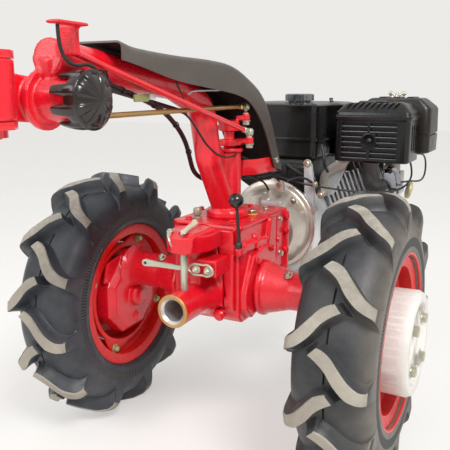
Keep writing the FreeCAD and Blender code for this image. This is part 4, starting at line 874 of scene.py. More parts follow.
# Engine
def cut_by(piece, tool_form):
    """The piece with the form's space taken out of it."""
    tool = new_object("cutters", tool_form.data("cutters"))
    cutting = piece.modifiers.new("cut", "BOOLEAN")
    cutting.operation = "DIFFERENCE"
    cutting.object = tool
    cutting.solver = "EXACT"
    apply_all(piece)
    data = tool.data
    bpy.data.objects.remove(tool)
    bpy.data.meshes.remove(data)


# Rows of louvres: height, and where each column starts and ends to the right
LOUVRES = (
    (693, -148, -212, -219, -284), (680, -148, -212, -219, -284), (667, -148, -200, -232, -284),
    (654, -148, -196, -236, -284), (641, -148, -199, -233, -284), (628, -148, -211, -220, -284),
    (615, -148, -212, -219, -284),
)
# The round recess in the guard's rear: to the left and up
RECESS = (-216, 654)


def guard():
    """Pressed guard of the silencer with its louvres, bead, round recess and roof slots."""
    louvres = [(start, end, height) for height, *ends in LOUVRES for start, end in (ends[:2], ends[2:])]
    # Height, the rear, right and left walls, and the corners' radius
    profile = (
        (600, 344, -310, -132, 12), (603, 340.5, -313.5, -128.5, 14), (701, 340.5, -313.5, -128.5, 14),
        (704, 338.5, -315.5, -126.5, 15), (712, 338, -316, -126, 15), (715, 340.5, -313.5, -128.5, 14),
        (722, 341.5, -312.5, -129.5, 14), (740, 357, -297, -145, 14), (744, 364, -290, -152, 12),
    )
    shell = Form()
    shell.layers([(z, panel(rear, left, 461, right, corner)) for z, rear, right, left, corner in profile])
    piece = shell.done("silencer_guard", "guard_gloss", slot_of("muffler_guard"), 30, 0.0016, 3)
    slots = Form()
    for start, end, height in louvres:
        slots.block((330, end, height - 4.6), (349, start, height + 4.4))
    for x in (372, 396, 420, 442):
        slots.block((x - 5, -330, 630), (x + 5, -304, 690))
    cut_by(piece, slots)
    holes = Form()
    holes.pin(0.0150, 0.020, toward(mm(332, *RECESS), AHEAD), 32)
    for i in range(9):
        where = toward(mm(356, -163 - 14.5 * i, 742), (-0.55, 0.28, -0.35))
        where = where @ Matrix.Translation((0, 0, -0.012)) @ Matrix.Rotation(1.25, 4, "Z")
        holes.prism(panel(-0.0085, -0.0030, 0.0085, 0.0030, 0.0028, 3), 0.030, where)
    cut_by(piece, holes)
    shade(piece, 30)
    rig.replaces(piece, "muffler_guard")

    # Blades behind the slots with their lips in pale grey as a painted highlight, a black sheet and disc inside as
    # painted shade, and the recess
    blades = Form()
    blade = [(-0.0006, -0.0048), (0.0074, -0.0018), (0.0078, -0.0030), (0.0006, -0.0060)]
    lip = [(-0.0018, -0.0056), (-0.0022, -0.0044), (-0.0014, -0.0036), (-0.0002, -0.0038), (0.0002, -0.0056)]
    for start, end, height in louvres:
        sideways = Matrix(((1, 0, 0, 0), (0, 0, 1, 0), (0, 1, 0, 0), (0, 0, 0, 1)))
        where = Matrix.Translation(mm(341.5, end, height)) @ sideways
        for blades.look, outline in enumerate((blade, lip)):
            blades.prism(outline, (start - end) / 1000, where)
    blades.done("louvre_blades", ("guard_gloss", "lip_highlight_grey"), "black_paint", 30, 0.0003, 1)
    # A black sheet behind the slots and a black disc in the recess: painted shade.
    inside = Form()
    inside.block((349.5, -302, 606), (350.5, -140, 712))
    inside.pin(0.0148, 0.0006, toward(mm(351.4, *RECESS), REAR), 32)
    inside.done("guard_inside_shade", "hole_black", "black_paint", 30)
    ring = Form()
    where = toward(mm(340.5, *RECESS), AHEAD)
    edge = [
        (0.0150, 0.0100), (0.0150, -0.0008), (0.0158, -0.0016), (0.0180, -0.0010), (0.0190, 0.0006), (0.0165, 0.0100),
    ]
    ring.turned(edge, where, 40, True)
    ring.turned([(0, 0.0095), (0.0150, 0.0095), (0.0150, 0.0110), (0, 0.0110)], where, 40)
    ring.look = 1
    ring.turned([(0, 0.0020), (0.0030, 0.0022), (0.0052, 0.0042), (0.0054, 0.0098), (0, 0.0098)], where, 20)
    ring.done("guard_recess", ("guard_gloss", "dark_steel"), "black_paint", 40)
    roof = Form()
    pads = ((372, -218, 398, -176, 747), (408, -236, 448, -168, 748.5), (372, -282, 440, -262, 746))
    for x0, y0, x1, y1, top in pads:
        corners = panel(x0, y0, x1, y1, 5)
        inner = panel(x0 + 3, y0 + 3, x1 - 3, y1 - 3, 4)
        roof.layers([(743, corners), (top - 1.5, corners), (top, inner)])
    roof.done("guard_roof_pads", "guard_gloss", "black_paint", 30)


def tank():
    """Fuel tank: two pressings on a seam, with a turned lip and a ribbed cap."""
    form = Form()
    # Corners seen from above, each with the ways that it moves ahead and to the left as the plan grows
    plan = (
        (322, -1, 150, 1), (598, 1, 150, 1), (598, 1, -110, -1), (450, -1, -110, -1), (430, -1, -87, -1),
        (322, -1, -87, -1),
    )
    # Height, how far the plan is grown, and its corners' radius
    profile = (
        (600, -10, 10), (604, -3, 14), (609, 0, 16), (648, 0, 16), (648.5, 5, 17), (652, 5.6, 17), (655.5, 5, 17),
        (656, 0, 16), (716, -1, 16), (727, -1, 16), (733, 0.5, 16), (736, 0.5, 16), (739, -2, 15), (743, -14, 10),
        (744.6, -34, 8), (745, -40, 6),
    )
    form.layers([
        (z, rounded([(x + ahead * grow, y + left * grow) for x, ahead, y, left in plan], corner))
        for z, grow, corner in profile
    ])
    form.stands_for("fuel_tank", "tank", "tank_black", 30)
    cap = Form()
    where = toward(mm(385, -17, 743), UP)
    cap.turned([(0, 0), (0.029, 0), (0.030, 0.006), (0, 0.006)], where, 40)
    skirt = []
    for i in range(96):
        reach = 0.0358 + 0.0022 * math.cos(2 * math.pi * i / 4) * (1 if i % 24 > 4 else 0.4)
        skirt.append((reach * math.cos(2 * math.pi * i / 96), reach * math.sin(2 * math.pi * i / 96)))
    cap.prism(skirt, 0.0155, where @ Matrix.Translation((0, 0, 0.0055)))
    cap.look = 1
    top = [
        (0, 0.0208), (0.0345, 0.0208), (0.0352, 0.0214), (0.0340, 0.0226), (0.0270, 0.0232), (0.0250, 0.0222),
        (0, 0.0222),
    ]
    cap.turned(top, where, 48)
    cap.done("tank_cap", ("cap_metal", "chrome"), "black_plastic", 30, 0.0003, 1)
    tab = Form()
    lean = Matrix.Rotation(1.35, 4, "X")
    tab.prism(panel(0, 0, 0.026, 0.012, 0.003), 0.0016, Matrix.Translation(mm(372, -104, 744)) @ lean)
    tab.look = 1
    tab.prism(panel(0.005, 0.004, 0.020, 0.008, 0.0015), 0.0021, Matrix.Translation(mm(372, -104.6, 744)) @ lean)
    tab.done("tank_tab", ("guard_black", "steel"), "black_paint", 30)


def cleaner():
    """Air cleaner's cover, in two mouldings with a step and a ridged roof."""
    form = Form()
    # Height, rear, right, left and front of the wall, and its corners' radius
    profile = (
        (615, 470, -330, -160, 594, 16), (618, 467, -337, -153, 600, 18), (661, 466.5, -337.5, -152.5, 602, 18),
        (662, 469, -334, -156, 598, 17), (665, 469, -334, -156, 598, 17), (666, 466.5, -337.5, -152.5, 602, 18),
        (727, 467, -336, -153, 600, 18), (733, 469, -333, -157, 596, 18), (751, 473, -313, -174, 577, 14),
        (755, 480, -306, -181, 570, 12),
    )
    form.layers([(z, panel(rear, left, front, right, corner)) for z, rear, right, left, front, corner in profile])
    for y in (-208, -244, -280):
        low, high = panel(486, y - 9, 562, y + 9, 6), panel(489, y - 6, 559, y + 6, 4)
        form.layers([(753, low), (757, low), (758.5, high)])
    form.stands_for("air_cleaner", "cleaner_cover", "cleaner_black", 30)
    nut = Form()
    hub = [
        (0, 0), (0.012, 0), (0.012, 0.0015), (0.0070, 0.0020), (0.0062, 0.008), (0.0035, 0.0100), (0.0030, 0.0135),
        (0, 0.0140),
    ]
    nut.turned(hub, toward(mm(500, -244, 755), UP), 24)
    for hand in (1, -1):
        wing = mm_line([(500, -244 + hand * y, z) for y, z in ((3, 760), (10, 765), (17, 769), (20, 766), (15, 761))])
        nut.swept(wing, [0.0030, 0.0034, 0.0036] + [0.0036] * (len(wing) - 4) + [0.0028], 10, 0.7)
    nut.done("wing_nut", "zinc", "zinc", 40)


# How far the cylinder's axis leans up from level, to the right
LEAN = math.radians(22)


def engine_details():
    """Rocker cover, bolts, exhaust flange and sleeve, cowl over the barrel, pipes and switches."""
    cover_low, cover_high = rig.box("valve_cover")
    way = Vector((0, -math.cos(LEAN), math.sin(LEAN)))
    side = Vector((0, math.sin(LEAN), math.cos(LEAN)))
    turned = Matrix((Vector((1, 0, 0)), side, way)).transposed().to_4x4()
    frame_at = Matrix.Translation((cover_low + cover_high) / 2 - way * 0.013) @ turned
    # Height over the head, half length, half width and corners' radius
    rows = (
        (0, 0.047, 0.042, 0.010), (0.004, 0.047, 0.042, 0.010), (0.0045, 0.043, 0.038, 0.012),
        (0.018, 0.042, 0.037, 0.014), (0.024, 0.038, 0.033, 0.016), (0.026, 0.030, 0.026, 0.016),
    )
    cover = Form()
    cover.layers([(h, panel(-a, -b, a, b, r)) for h, a, b, r in rows], frame_at)
    cover.stands_for("valve_cover", "rocker_cover", "chrome", 35)
    heads = Form()
    for x, y in ((-0.041, -0.036), (0.041, -0.036), (0.041, 0.036), (-0.041, 0.036)):
        bolt(heads, frame_at @ Vector((x, y, 0.004)), way, 9, 5)
    for place, across, tall in (
        ((204, -110, 606), 13, 7), ((204, -76, 515), 11, 6), ((271, -122, 522), 12, 7), ((266, -108, 548), 10, 6),
    ):
        bolt(heads, mm(*place), REAR, across, tall)
    heads.done("engine_bolts", "zinc", "zinc", 30, 0.0003, 1)

    # Head's rear: flange of the exhaust with its two studs, a disc on the head, and the pipe's sleeve
    flange = Form()
    outline = rounded([(-0.020, -0.036), (0.020, -0.036), (0.016, 0.040), (-0.016, 0.040)], 0.006)
    turned = Matrix(((0, 0, 1, 0), (-0.92, 0.38, 0, 0), (0.38, 0.92, 0, 0), (0, 0, 0, 1)))
    flange.prism(outline, 0.016, Matrix.Translation(mm(406, -246, 538)) @ turned)
    for y, z in ((-236, 560), (-256, 516)):
        stud = [(0, 0), (0.008, 0), (0.008, 0.008), (0.006, 0.010), (0, 0.010)]
        flange.turned(stud, toward(mm(406, y, z), REAR), 20)
    flange.done("exhaust_flange", "bright_aluminium", "aluminium", 30, 0.001)
    disc = Form()
    outline = [(0, 0), (0.017, 0), (0.021, 0.002), (0.022, 0.006), (0.020, 0.010), (0.008, 0.012), (0, 0.0122)]
    disc.turned(outline, toward(mm(398, -303, 531), (0.35, -0.9, -0.25)), 36)
    disc.done("rocker_disc", "amber", "brass", 40)
    leg = Form()
    path = mm_line([(347, -222, 599.4), (349, -223, 580), (353, -226, 560), (361, -230, 546)])
    leg.swept(path, [0.0215 - 0.0002 * i for i in range(13)], 28, 0.92)
    leg.done("exhaust_sleeve", "dark_steel", "black_paint", 50)

    # Curved cowl over the barrel's rear, down to the crankcase, and the dark ribbed top of the barrel
    cowl = Form()
    outer = ((-92, 512), (-86, 530), (-85, 548), (-93, 568), (-112, 587), (-141, 601), (-169, 607), (-192, 611))
    inner = ((-112, 512), (-107, 528), (-105, 543), (-110, 557), (-130, 571), (-151, 580), (-159, 592), (-168, 602))
    places = [mm(0, p.x, p.y) for p in smooth_line(outer) + smooth_line(inner)[::-1]]
    cowl.prism([(p.y, p.z) for p in places], 0.010, facing_ahead(mm(366, 0, 0)))
    cowl.done("barrel_cowl", "cast_aluminium", "aluminium", 35, 0.003, 3)
    top = Form()
    top.block((404, -240, 568), (412, -140, 622))
    top.look = 1
    for y in range(-166, -227, -15):
        top.swept([mm(399, y + 14, 618), mm(399, y + 6, 600), mm(399, y - 8, 570)], 0.0022, 8)
    top.done("barrel_top", ("dark_steel", "fin_aluminium"), "aluminium", 30)
    hoses = Form()
    runs = (
        (4.5, (
            (300, -62, 594), (296, -74, 580), (290, -90, 572), (284, -100, 556), (288, -104, 536), (300, -104, 520),
        )),
        (4, ((318, -104, 640), (310, -112, 622), (306, -116, 600), (314, -118, 584), (330, -118, 574))),
        (5, ((300, -20, 590), (294, -40, 578), (288, -60, 570), (286, -84, 560), (292, -96, 545))),
        (3, ((206, -56, 560), (236, -72, 566), (258, -86, 562), (272, -98, 552))),
    )
    for radius, points in runs:
        hoses.swept(mm_line(points, 5), radius / 1000)
    hoses.done("engine_pipes", "black_plastic", "black_plastic", 50)
    boxes = Form()
    boxes.block((293, -88, 536), (300, -34, 590))
    boxes.block((294, -20, 548), (300, 40, 584))
    knob = [(0, 0), (0.018, 0), (0.018, 0.006), (0.015, 0.010), (0, 0.010)]
    boxes.turned(knob, toward(mm(300, -60, 572), REAR), 28)
    boxes.done("switch_plates", "guard_black", "black_plastic", 30, 0.002)


def bell_details():
    """Six lugs round the clutch housing, the release lever's lug with its pin, and a block at the joint."""
    lugs = Form()
    for i in range(6):
        turn = math.radians(30 + 60 * i)
        place = mm(264, -126 * math.cos(turn), CRANK_UP + 126 * math.sin(turn))
        lugs.pin(0.010, 0.010, toward(place, REAR))
    lugs.done("bell_lugs", "cast_aluminium", "aluminium", 30, 0.001)
    lug = Form()
    outline = rounded([(-0.011, 0), (0.011, 0), (0.008, 0.026), (-0.008, 0.026)], 0.004)
    lug.prism(outline, 0.012, facing_ahead(mm(190, -45, 533)))
    lug.look = 1
    pin = [(0, 0), (0.0055, 0), (0.0055, 0.016), (0.004, 0.018), (0, 0.018)]
    lug.turned(pin, toward(mm(186, -45, 553), AHEAD), 20)
    lug.done("release_lug", ("cast_aluminium", "copper"), "aluminium", 30, 0.0008)
    pad = Form()
    pad.prism(panel(0, 0, 0.016, 0.048, 0.003), 0.012, Matrix.Translation(mm(143, -68, 508)))
    pad.done("joint_block", "bright_aluminium", "aluminium", 30, 0.0012)


def starter():
    """Grille rings, centre cap and pull handle of the recoil starter."""
    low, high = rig.box("recoil_starter")
    front, height = high.x, (low.z + high.z) / 2
    grille = Form()
    where = toward((front, 0, height), AHEAD)
    for reach in (0.030, 0.042, 0.054):
        ring = [(reach, -0.002), (reach + 0.003, -0.002), (reach + 0.003, 0.0), (reach, 0.0)]
        grille.turned(ring, where, 48, True)
    grille.turned([(0, -0.002), (0.020, -0.002), (0.020, -0.0002), (0.016, 0.0), (0, 0.0)], where, 40)
    grille.done("starter_grille", "guard_gloss", "black_plastic", 30)
    handle = Form()
    place = Vector((low.x + 0.020, -0.122, height + 0.060))
    stem = ((0, 0.014, -0.010), (0, 0, 0), (0, -0.012, 0.009))
    bar = ((-0.020, -0.015, 0.010), (0, -0.017, 0.014), (0.020, -0.015, 0.010))
    for points, between, radius in ((stem, 4, 0.006), (bar, 5, 0.0075)):
        handle.swept(smooth_line([place + Vector(p) for p in points], between), radius, 14)
    handle.done("pull_handle", "rubber", "black_plastic", 40)


# Column. The shield's profile from its rear end, ahead and up: its top, and the edge of its sides
SHIELD_TOP = (
    (-430, 846), (-387, 838), (-273, 832), (-151, 829), (-69, 821), (0, 799), (60, 771), (104, 732), (147, 663),
    (187, 590),
)
SHIELD_EDGE = (
    (-430, 818), (-388, 811), (-274, 790), (-123, 774), (-46, 764), (10, 747), (62, 708), (96, 667), (138, 600),
)


def evenly(points, count):
    """Points at even spacing along a smooth curve through the given ones."""
    line = smooth_line([(x, z, 0) for x, z in points], 12)
    steps = [(b - a).length for a, b in zip(line, line[1:])]
    total, placed, run, index = sum(steps), [], 0.0, 0
    for i in range(count):
        target = total * i / (count - 1)
        while index < len(steps) - 1 and run + steps[index] < target:
            run += steps[index]
            index += 1
        share = min(1.0, (target - run) / steps[index])
        placed.append(line[index].lerp(line[index + 1], share))
    return placed


def shield():
    """Folded cover: satin outside, near-black inside as painted shade under it, its folds rounded."""
    form = Form()
    rows = []
    for top, edge in zip(evenly(SHIELD_TOP, 60), evenly(SHIELD_EDGE, 60)):
        fall = (edge - top).normalized()
        side = [(edge, 55.0), (edge.lerp(top + fall * 11, 0.5), 55.0)]
        side += [(top + fall * down, out) for down, out in ((11, 55.0), (6.5, 54.4), (3, 52.4), (0.8, 48.6), (0, 44.0))]
        row = [mm(p.x, -y, p.y) for p, y in side] + [mm(top.x, y, top.y) for y in (-22, 0, 22)]
        rows.append(row + [mm(p.x, y, p.y) for p, y in side[::-1]])
    form.sheet(rows)
    data = form.data("shield_skin")
    highest = max(data.polygons, key=lambda face: face.center.z)
    if highest.normal.z < 0:
        data.flip_normals()
    piece = new_object("shield_skin", data)
    for name in ("shield_paint", "hole_black"):
        data.materials.append(look(name))
    # The wall's inner face takes the near-black of painted shade.
    wall = piece.modifiers.new("wall", "SOLIDIFY")
    wall.thickness = 0.003
    wall.offset = -1
    wall.material_offset = 1
    wall.material_offset_rim = 0
    apply_all(piece)
    shade(piece, 50)
    in_place_of(piece, "shield")
    heads = Form()
    dome = [(0, 0), (0.0085, 0), (0.0085, 0.0012), (0.0070, 0.0014), (0.0066, 0.0034), (0.0040, 0.0050), (0, 0.0054)]
    for y, way in ((-55, RIGHT), (55, LEFT)):
        heads.turned(dome, toward(mm(146, y, 617), way), 28)
    heads.done("shield_bolts", "zinc", "zinc", 40)


def joint_end(form, end, way, eye_top, eye_foot):
    """Ball joint at a rod's front end: ferrule, ball housing, stud and nut."""
    ferrule = [(0.0044, 0), (0.0058, 0.001), (0.0062, 0.004), (0.0062, 0.020), (0.0052, 0.024), (0.0044, 0.025)]
    form.look = 1
    form.turned(ferrule, toward(end - way * 0.030, way), 24)
    housing = [
        (0, -0.0088), (0.0055, -0.0080), (0.0082, -0.0050), (0.0090, 0.0), (0.0086, 0.0045), (0.0064, 0.0074),
        (0.0040, 0.0082), (0, 0.0084),
    ]
    form.look = 2
    form.turned(housing, toward(end, UP), 28)
    form.pin(0.0030, 0.013, toward(end + Vector((0, 0, -0.019)), UP), 16)
    bolt(form, Vector((end.x, end.y, eye_top / 1000)), UP, 11, 3.5, False)
    bolt(form, Vector((end.x, end.y, eye_foot / 1000)), DOWN, 13, 8)


def rods():
    """Control rods with their ball joints, and the arms behind them."""
    # Name, both ends, radius, looks, heights of the nuts over and under the ball
    cases = (
        ("brass", (-473.6, -34, 738), (25, -34, 742), 4.3, ("brass", "brass_bright", "zinc_pale"), 725, 712),
        ("red", (-519.4, -46, 823), (18, -46, 688), 5.0, ("red_sheet", "zinc_pale", "zinc_pale"), 677, 664),
    )
    for name, start, end, radius, looks, top, foot in cases:
        form = Form()
        start, end = mm(*start), mm(*end)
        way = (end - start).normalized()
        form.swept([start, start.lerp(end, 0.5), end - way * 0.012], radius / 1000, 20)
        joint_end(form, end, way, top, foot)
        form.stands_for(f"{name}_rod", f"{name}_link", looks, 40)
    cast("selector_arms", "red_casting", 0.0016, 4)


# The hand nut's face from its middle outward, radius and height, along a lobe and along a hollow
LOBE = (
    (0, 30), (8, 29.8), (17, 29), (26, 27.2), (33, 24.6), (38, 20.5), (40.6, 13), (41.2, 4), (40.6, -8), (39.0, -20),
    (37, -28),
)
HOLLOW = (
    (0, 30), (7, 29.7), (16, 28.4), (24, 26), (30.5, 22.5), (35.5, 17), (37.6, 10), (37.8, 4), (37.4, 0), (36.6, -3),
    (36, -4.5),
)
KNOB_LOBES, KNOB_STEPS, KNOB_TURN = 8, 192, math.radians(-22)


def knob_ring(centre, low, high):
    """One ring round the hand nut, between the radius and height in the hollows and on the lobes."""
    row = []
    for i in range(KNOB_STEPS + 1):
        turn = 2 * math.pi * i / KNOB_STEPS
        crest = max(0.0, min(1.0, (0.5 + 0.5 * math.cos(KNOB_LOBES * (turn - KNOB_TURN)) - 0.30) / 0.45))
        share = crest * crest * (3 - 2 * crest)
        radius, height = ((a + (b - a) * share) / 1000 for a, b in zip(low, high))
        row.append(centre + Vector((-radius * math.cos(turn), -height, radius * math.sin(turn))))
    return row


def clamp_knob():
    """Domed hand nut: eight lobes that run out into claws over the boss."""
    centre = mm(-515, -50, 762)
    inside = (((33.5, -5), (34.2, -29)), ((32.6, -3.6), (32.6, -25)), ((32.2, 1.0), (32.2, 1.0)), ((0, 1.0), (0, 1.0)))
    form = Form()
    form.sheet([knob_ring(centre, low, high) for low, high in (*zip(HOLLOW, LOBE), *inside)])
    bmesh.ops.remove_doubles(form.mesh, verts=form.mesh.verts, dist=1e-6)
    bmesh.ops.dissolve_degenerate(form.mesh, edges=form.mesh.edges, dist=1e-7)
    form.stands_for("clamp_knob", "claw_nut", "black_knob", 50)
    rim = Form()
    outline = [(0.0350, 0), (0.0398, 0), (0.0408, 0.0010), (0.0408, 0.0026), (0.0398, 0.0036), (0.0350, 0.0036)]
    rim.turned(outline, toward(centre + Vector((0, -0.0148, 0)), RIGHT), 64, True)
    rim.done("nut_rim", "black_knob", "black_plastic", 50, body=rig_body("clamp_knob"))


def column_details():
    """Tail of a cable tie, bands, tag and connector of the bundle, and the strap's bolts."""
    tail = Form()
    tail.swept(mm_line([(-216, -38, 768), (-206, -39, 773), (-160, -40, 774.5), (-104, -40, 775)]), 0.0016, 8)
    tail.done("tie_tail", "white_plastic", "black_plastic", 40)
    bands = Form()
    for (x0, z0), (x1, z1) in (((-451, 804), (-440, 782)), ((-259, 788), (-236, 760))):
        path = [mm(x0, -38.4, z0), mm((x0 + x1) / 2, -39, (z0 + z1) / 2), mm(x1, -38.4, z1)]
        bands.swept(path, 0.0015, 8)
    bands.done("zip_bands", "black_plastic", "black_plastic", 40)
    tag = Form()
    upright = Matrix.Rotation(math.pi / 2, 4, "X")
    tag.prism(panel(-0.019, -0.006, 0.019, 0.006, 0.003), 0.004, Matrix.Translation(mm(-360, -34, 763)) @ upright)
    tag.look = 1
    tag.prism(panel(-0.007, -0.005, 0.007, 0.005, 0.002), 0.007, Matrix.Translation(mm(-330, -32, 765)) @ upright)
    tag.done("cable_connector", ("olive", "white_plastic"), "black_plastic", 30, 0.0008)
    bolt_rows("strap_bolts", [((-28, y, 520), UP, 10, 6) for y in (-19.2, 19.2)], "zinc", "zinc", 0.0)


# Gearbox
# Place, way out of the casting, width across the flats and height of each head
CASE_BOLTS = (
    ((113, -43, 507.2), UP, 11, 6), ((113, 43, 507.2), UP, 11, 6), ((118, -78, 486), RIGHT, 9, 4),
    ((118, 78, 486), LEFT, 9, 4), ((122, -78, 404), RIGHT, 11, 6), ((122, 78, 404), LEFT, 11, 6),
    ((-20, 156, 397), (-0.5, 0, 0.87), 12, 7), ((-20, -156, 397), (-0.5, 0, 0.87), 12, 7),
)
PAINTED_BOLTS = (
    ((-70, -52, 508.2), UP, 11, 5), ((-72, 52, 508.2), UP, 11, 5), ((86, 58, 508.2), UP, 11, 5),
    ((146, -82, 488), REAR, 11, 7), ((146, -82, 454), REAR, 11, 7), ((146, -82, 408), REAR, 11, 7),
    ((146, 82, 488), REAR, 11, 7), ((146, 82, 454), REAR, 11, 7), ((146, 82, 408), REAR, 11, 7),
    ((40, -92, 437), RIGHT, 12, 6), ((-34, -92, 424), RIGHT, 12, 6), ((60, -92, 340), RIGHT, 12, 6),
    ((40, 92, 437), LEFT, 12, 6), ((-34, 92, 424), LEFT, 12, 6), ((60, 92, 340), LEFT, 12, 6),
    ((-100, -16, 458), REAR, 12, 7), ((-100, 50, 484), REAR, 12, 7), ((-100, 50, 330), REAR, 12, 7),
    ((-60, -34, 520), UP, 10, 6), ((-24, 48, 520), UP, 10, 6), ((52, -34, 520), UP, 10, 6),
)
# Red screw bosses: place, way, radius and reach
RED_BOSSES = (
    ((42, -77, 452), RIGHT, 9, 9), ((-16, -77, 470), RIGHT, 8, 6), ((-106, -38, 318), REAR, 9, 5),
    ((96, -77, 372), RIGHT, 7, 8), ((110, -77, 440), RIGHT, 6, 4),
)


def case_details():
    """Bolts and screw bosses of the gearbox, its filler plug on a sealing ring, and the breather."""
    bolt_rows("case_bolts", CASE_BOLTS, "zinc", "zinc", 0.0004)
    bolt_rows("painted_bolts", PAINTED_BOLTS, "red_casting", "red_paint", 0.0008)
    bosses = Form()
    for place, way, radius, reach in RED_BOSSES:
        r, h = radius / 1000, reach / 1000
        outline = [(r * 1.35, 0), (r * 1.1, 0.002), (r, 0.004), (r, h), (r * 0.86, h + 0.0012), (0, h + 0.0012)]
        bosses.turned(outline, toward(mm(*place), way), 28)
    bosses.done("case_bosses", "red_casting", "red_paint", 50)
    plug = Form()
    seal = [(0, 0), (0.0118, 0), (0.0122, 0.0008), (0.0122, 0.0024), (0.0105, 0.0034), (0, 0.0034)]
    plug.turned(seal, toward(mm(30, -48, 508), UP), 32)
    plug.look = 1
    bolt(plug, mm(30, -48, 511.2), UP, 19, 9, False)
    plug.done("filler_plug", ("seal_yellow", "zinc"), "zinc", 40, 0.0005)
    vent = Form()
    bolt(vent, mm(-66, 34, 508), UP, 17, 6, False)
    outline = [
        (0, 0), (0.0062, 0), (0.0062, 0.004), (0.0085, 0.005), (0.0088, 0.017), (0.0072, 0.0195), (0.003, 0.0205),
        (0, 0.0205),
    ]
    vent.turned(outline, toward(mm(-66, 34, 513), UP), 28)
    vent.done("breather", "old_brass", "brass", 40, 0.0004)


# Hitch. Height of its latch, in millimetres
LATCH_UP = 430


def mirrored(outline):
    """Half an outline and its mirror image across the first axis."""
    return outline + [(x, -y) for x, y in outline[::-1] if y]


def hitch():
    """Socket with its machined mouth and bore, cross pin, latch with its shackle, and two small levers."""
    cast("hitch_socket", "red_casting", 0.0022, 16)
    mouth = Form()
    where = toward(mm(-226.3, 0, TUBE_UP), AHEAD)
    edge = [(0.0262, 0.0006), (0.0276, 0.0), (0.0318, 0.0), (0.0332, 0.0014), (0.0332, 0.0030), (0.0262, 0.0030)]
    mouth.turned(edge, where, 56, True)
    mouth.look = 1
    mouth.turned([(0.0216, 0.0062), (0.0262, 0.0006), (0.0264, 0.0030), (0.0222, 0.0080)], where, 56, True)
    bore = [(0.0216, 0.0060), (0.0219, 0.110), (0, 0.1105), (0, 0.1120), (0.0223, 0.112), (0.0221, 0.0060)]
    mouth.turned(bore, where, 56)
    mouth.done("hitch_liner", ("ochre_edge", "bore_steel"), "steel", 40)
    pin = Form()
    outline = [
        (0, 0), (0.0066, 0), (0.0070, 0.001), (0.0070, 0.0810), (0.0064, 0.0820), (0.0064, 0.085), (0.0070, 0.086),
        (0.0070, 0.120), (0.0058, 0.122), (0, 0.122),
    ]
    pin.turned(outline, toward(mm(-179, 0, 383), UP), 36)
    pin.stands_for("hitch_pin", "cross_pin", "zinc_pale", 40)

    # Latch: a flat bar with an eye, and a wire shackle round two bolts
    latch = Form()
    bar = [(0.106, 0.0), (0.1035, 0.0052), (0.098, 0.0072), (0.091, 0.0062), (0.070, 0.0048), (-0.004, 0.0044)]
    latch.prism(mirrored(bar), 0.006, facing_ahead(mm(-171.7, 0, LATCH_UP)))
    ring = (
        (-2, 0), (-8, 7), (-18, 11.5), (-34, 11), (-46, 12), (-56, 5), (-57, -4), (-46, -11), (-34, -10), (-18, -11),
        (-8, -7), (-2, -1), (-2, 0),
    )
    latch.swept(mm_line([(-167, y, LATCH_UP + z) for y, z in ring]), 0.0021, 10)
    for y in (-20, -46):
        bolt(latch, mm(-165, y, LATCH_UP), REAR, 11, 7)
        stud = [(0, 0), (0.0032, 0), (0.0032, 0.005 * 0.86), (0.0032 * 0.8, 0.005), (0, 0.005)]
        latch.turned(stud, toward(mm(-172, y, LATCH_UP), REAR), 18)
    latch.stands_for("hitch_lever", "latch", "zinc_pale", 40, 0.0005)
    # A black disc in the latch's eye: painted shade in the hole.
    eye = Form()
    eye.pin(0.0030, 0.0003, toward(mm(-171.9, 97, LATCH_UP), REAR))
    eye.done("latch_eye_shade", "hole_black", "black_plastic", 40)

    # Small levers on the bracket
    hook = Form()
    strip = mm_line([(-188, 26, 506), (-196, 23, 500), (-201, 17, 492), (-200, 14, 484), (-197, 10, 477)], 5)
    hook.swept(strip, [0.0052 - 0.00006 * i for i in range(len(strip))], 10, 0.35)
    bolt(hook, mm(-184, 28, 505), UP, 9, 4)
    hook.done("catch_hook", "zinc_pale", "zinc", 40)
    flat = Form()
    turn = Matrix.Translation(mm(-112, 14, 506.3)) @ Matrix.Rotation(math.radians(195), 4, "Z")
    blade = [
        (-0.006, 0.004), (0.0, 0.0076), (0.010, 0.0072), (0.060, 0.0050), (0.078, 0.0062), (0.085, 0.0050),
        (0.087, 0.0),
    ]
    flat.prism(mirrored(blade), 0.005, turn)
    bolt(flat, mm(-112, 14, 511), UP, 9, 4.5)
    flat.stands_for("selector_lever", "pto_lever", "cream_paint", 40, 0.0008)


def gear_lever():
    """Bent stick on a collar, with its ball."""
    lever = Form()
    stick = ((-103, -82, 466.5), (-104, -83, 480), (-110, -84, 510), (-122, -87, 548), (-126, -88, 556))
    lever.swept(mm_line(stick, 5), 0.0034, 14)
    collar = [(0, 0), (0.0065, 0), (0.0072, 0.002), (0.0068, 0.010), (0.0045, 0.0125), (0, 0.0125)]
    lever.turned(collar, toward(mm(-103, -82, 466.3), UP), 24)
    ball = [(0.0149 * math.sin(math.pi * i / 14), -0.0149 * math.cos(math.pi * i / 14)) for i in range(15)]
    ball[0], ball[-1] = (0, ball[0][1]), (0, ball[-1][1])
    lever.look = 1
    lever.turned(ball, toward(mm(-128, -88, 567), (-0.2, -0.05, 1)), 32)
    lever.stands_for("gear_lever", "gear_stick", ("frame_black", "black_knob"), 50)


def flares():
    """Fillets where the axle tubes run into the final drives."""
    form = Form()
    outline = [
        (0.0385, 0), (0.0404, 0.0), (0.0412, 0.012), (0.0432, 0.022), (0.0470, 0.030), (0.0530, 0.0368),
        (0.0385, 0.0368),
    ]
    for side in (1, -1):
        form.turned(outline, toward(mm(0, side * 214, TUBE_UP), (0, side, 0)), 56, True)
    form.done("tube_flares", "red_casting", "red_paint", 50)


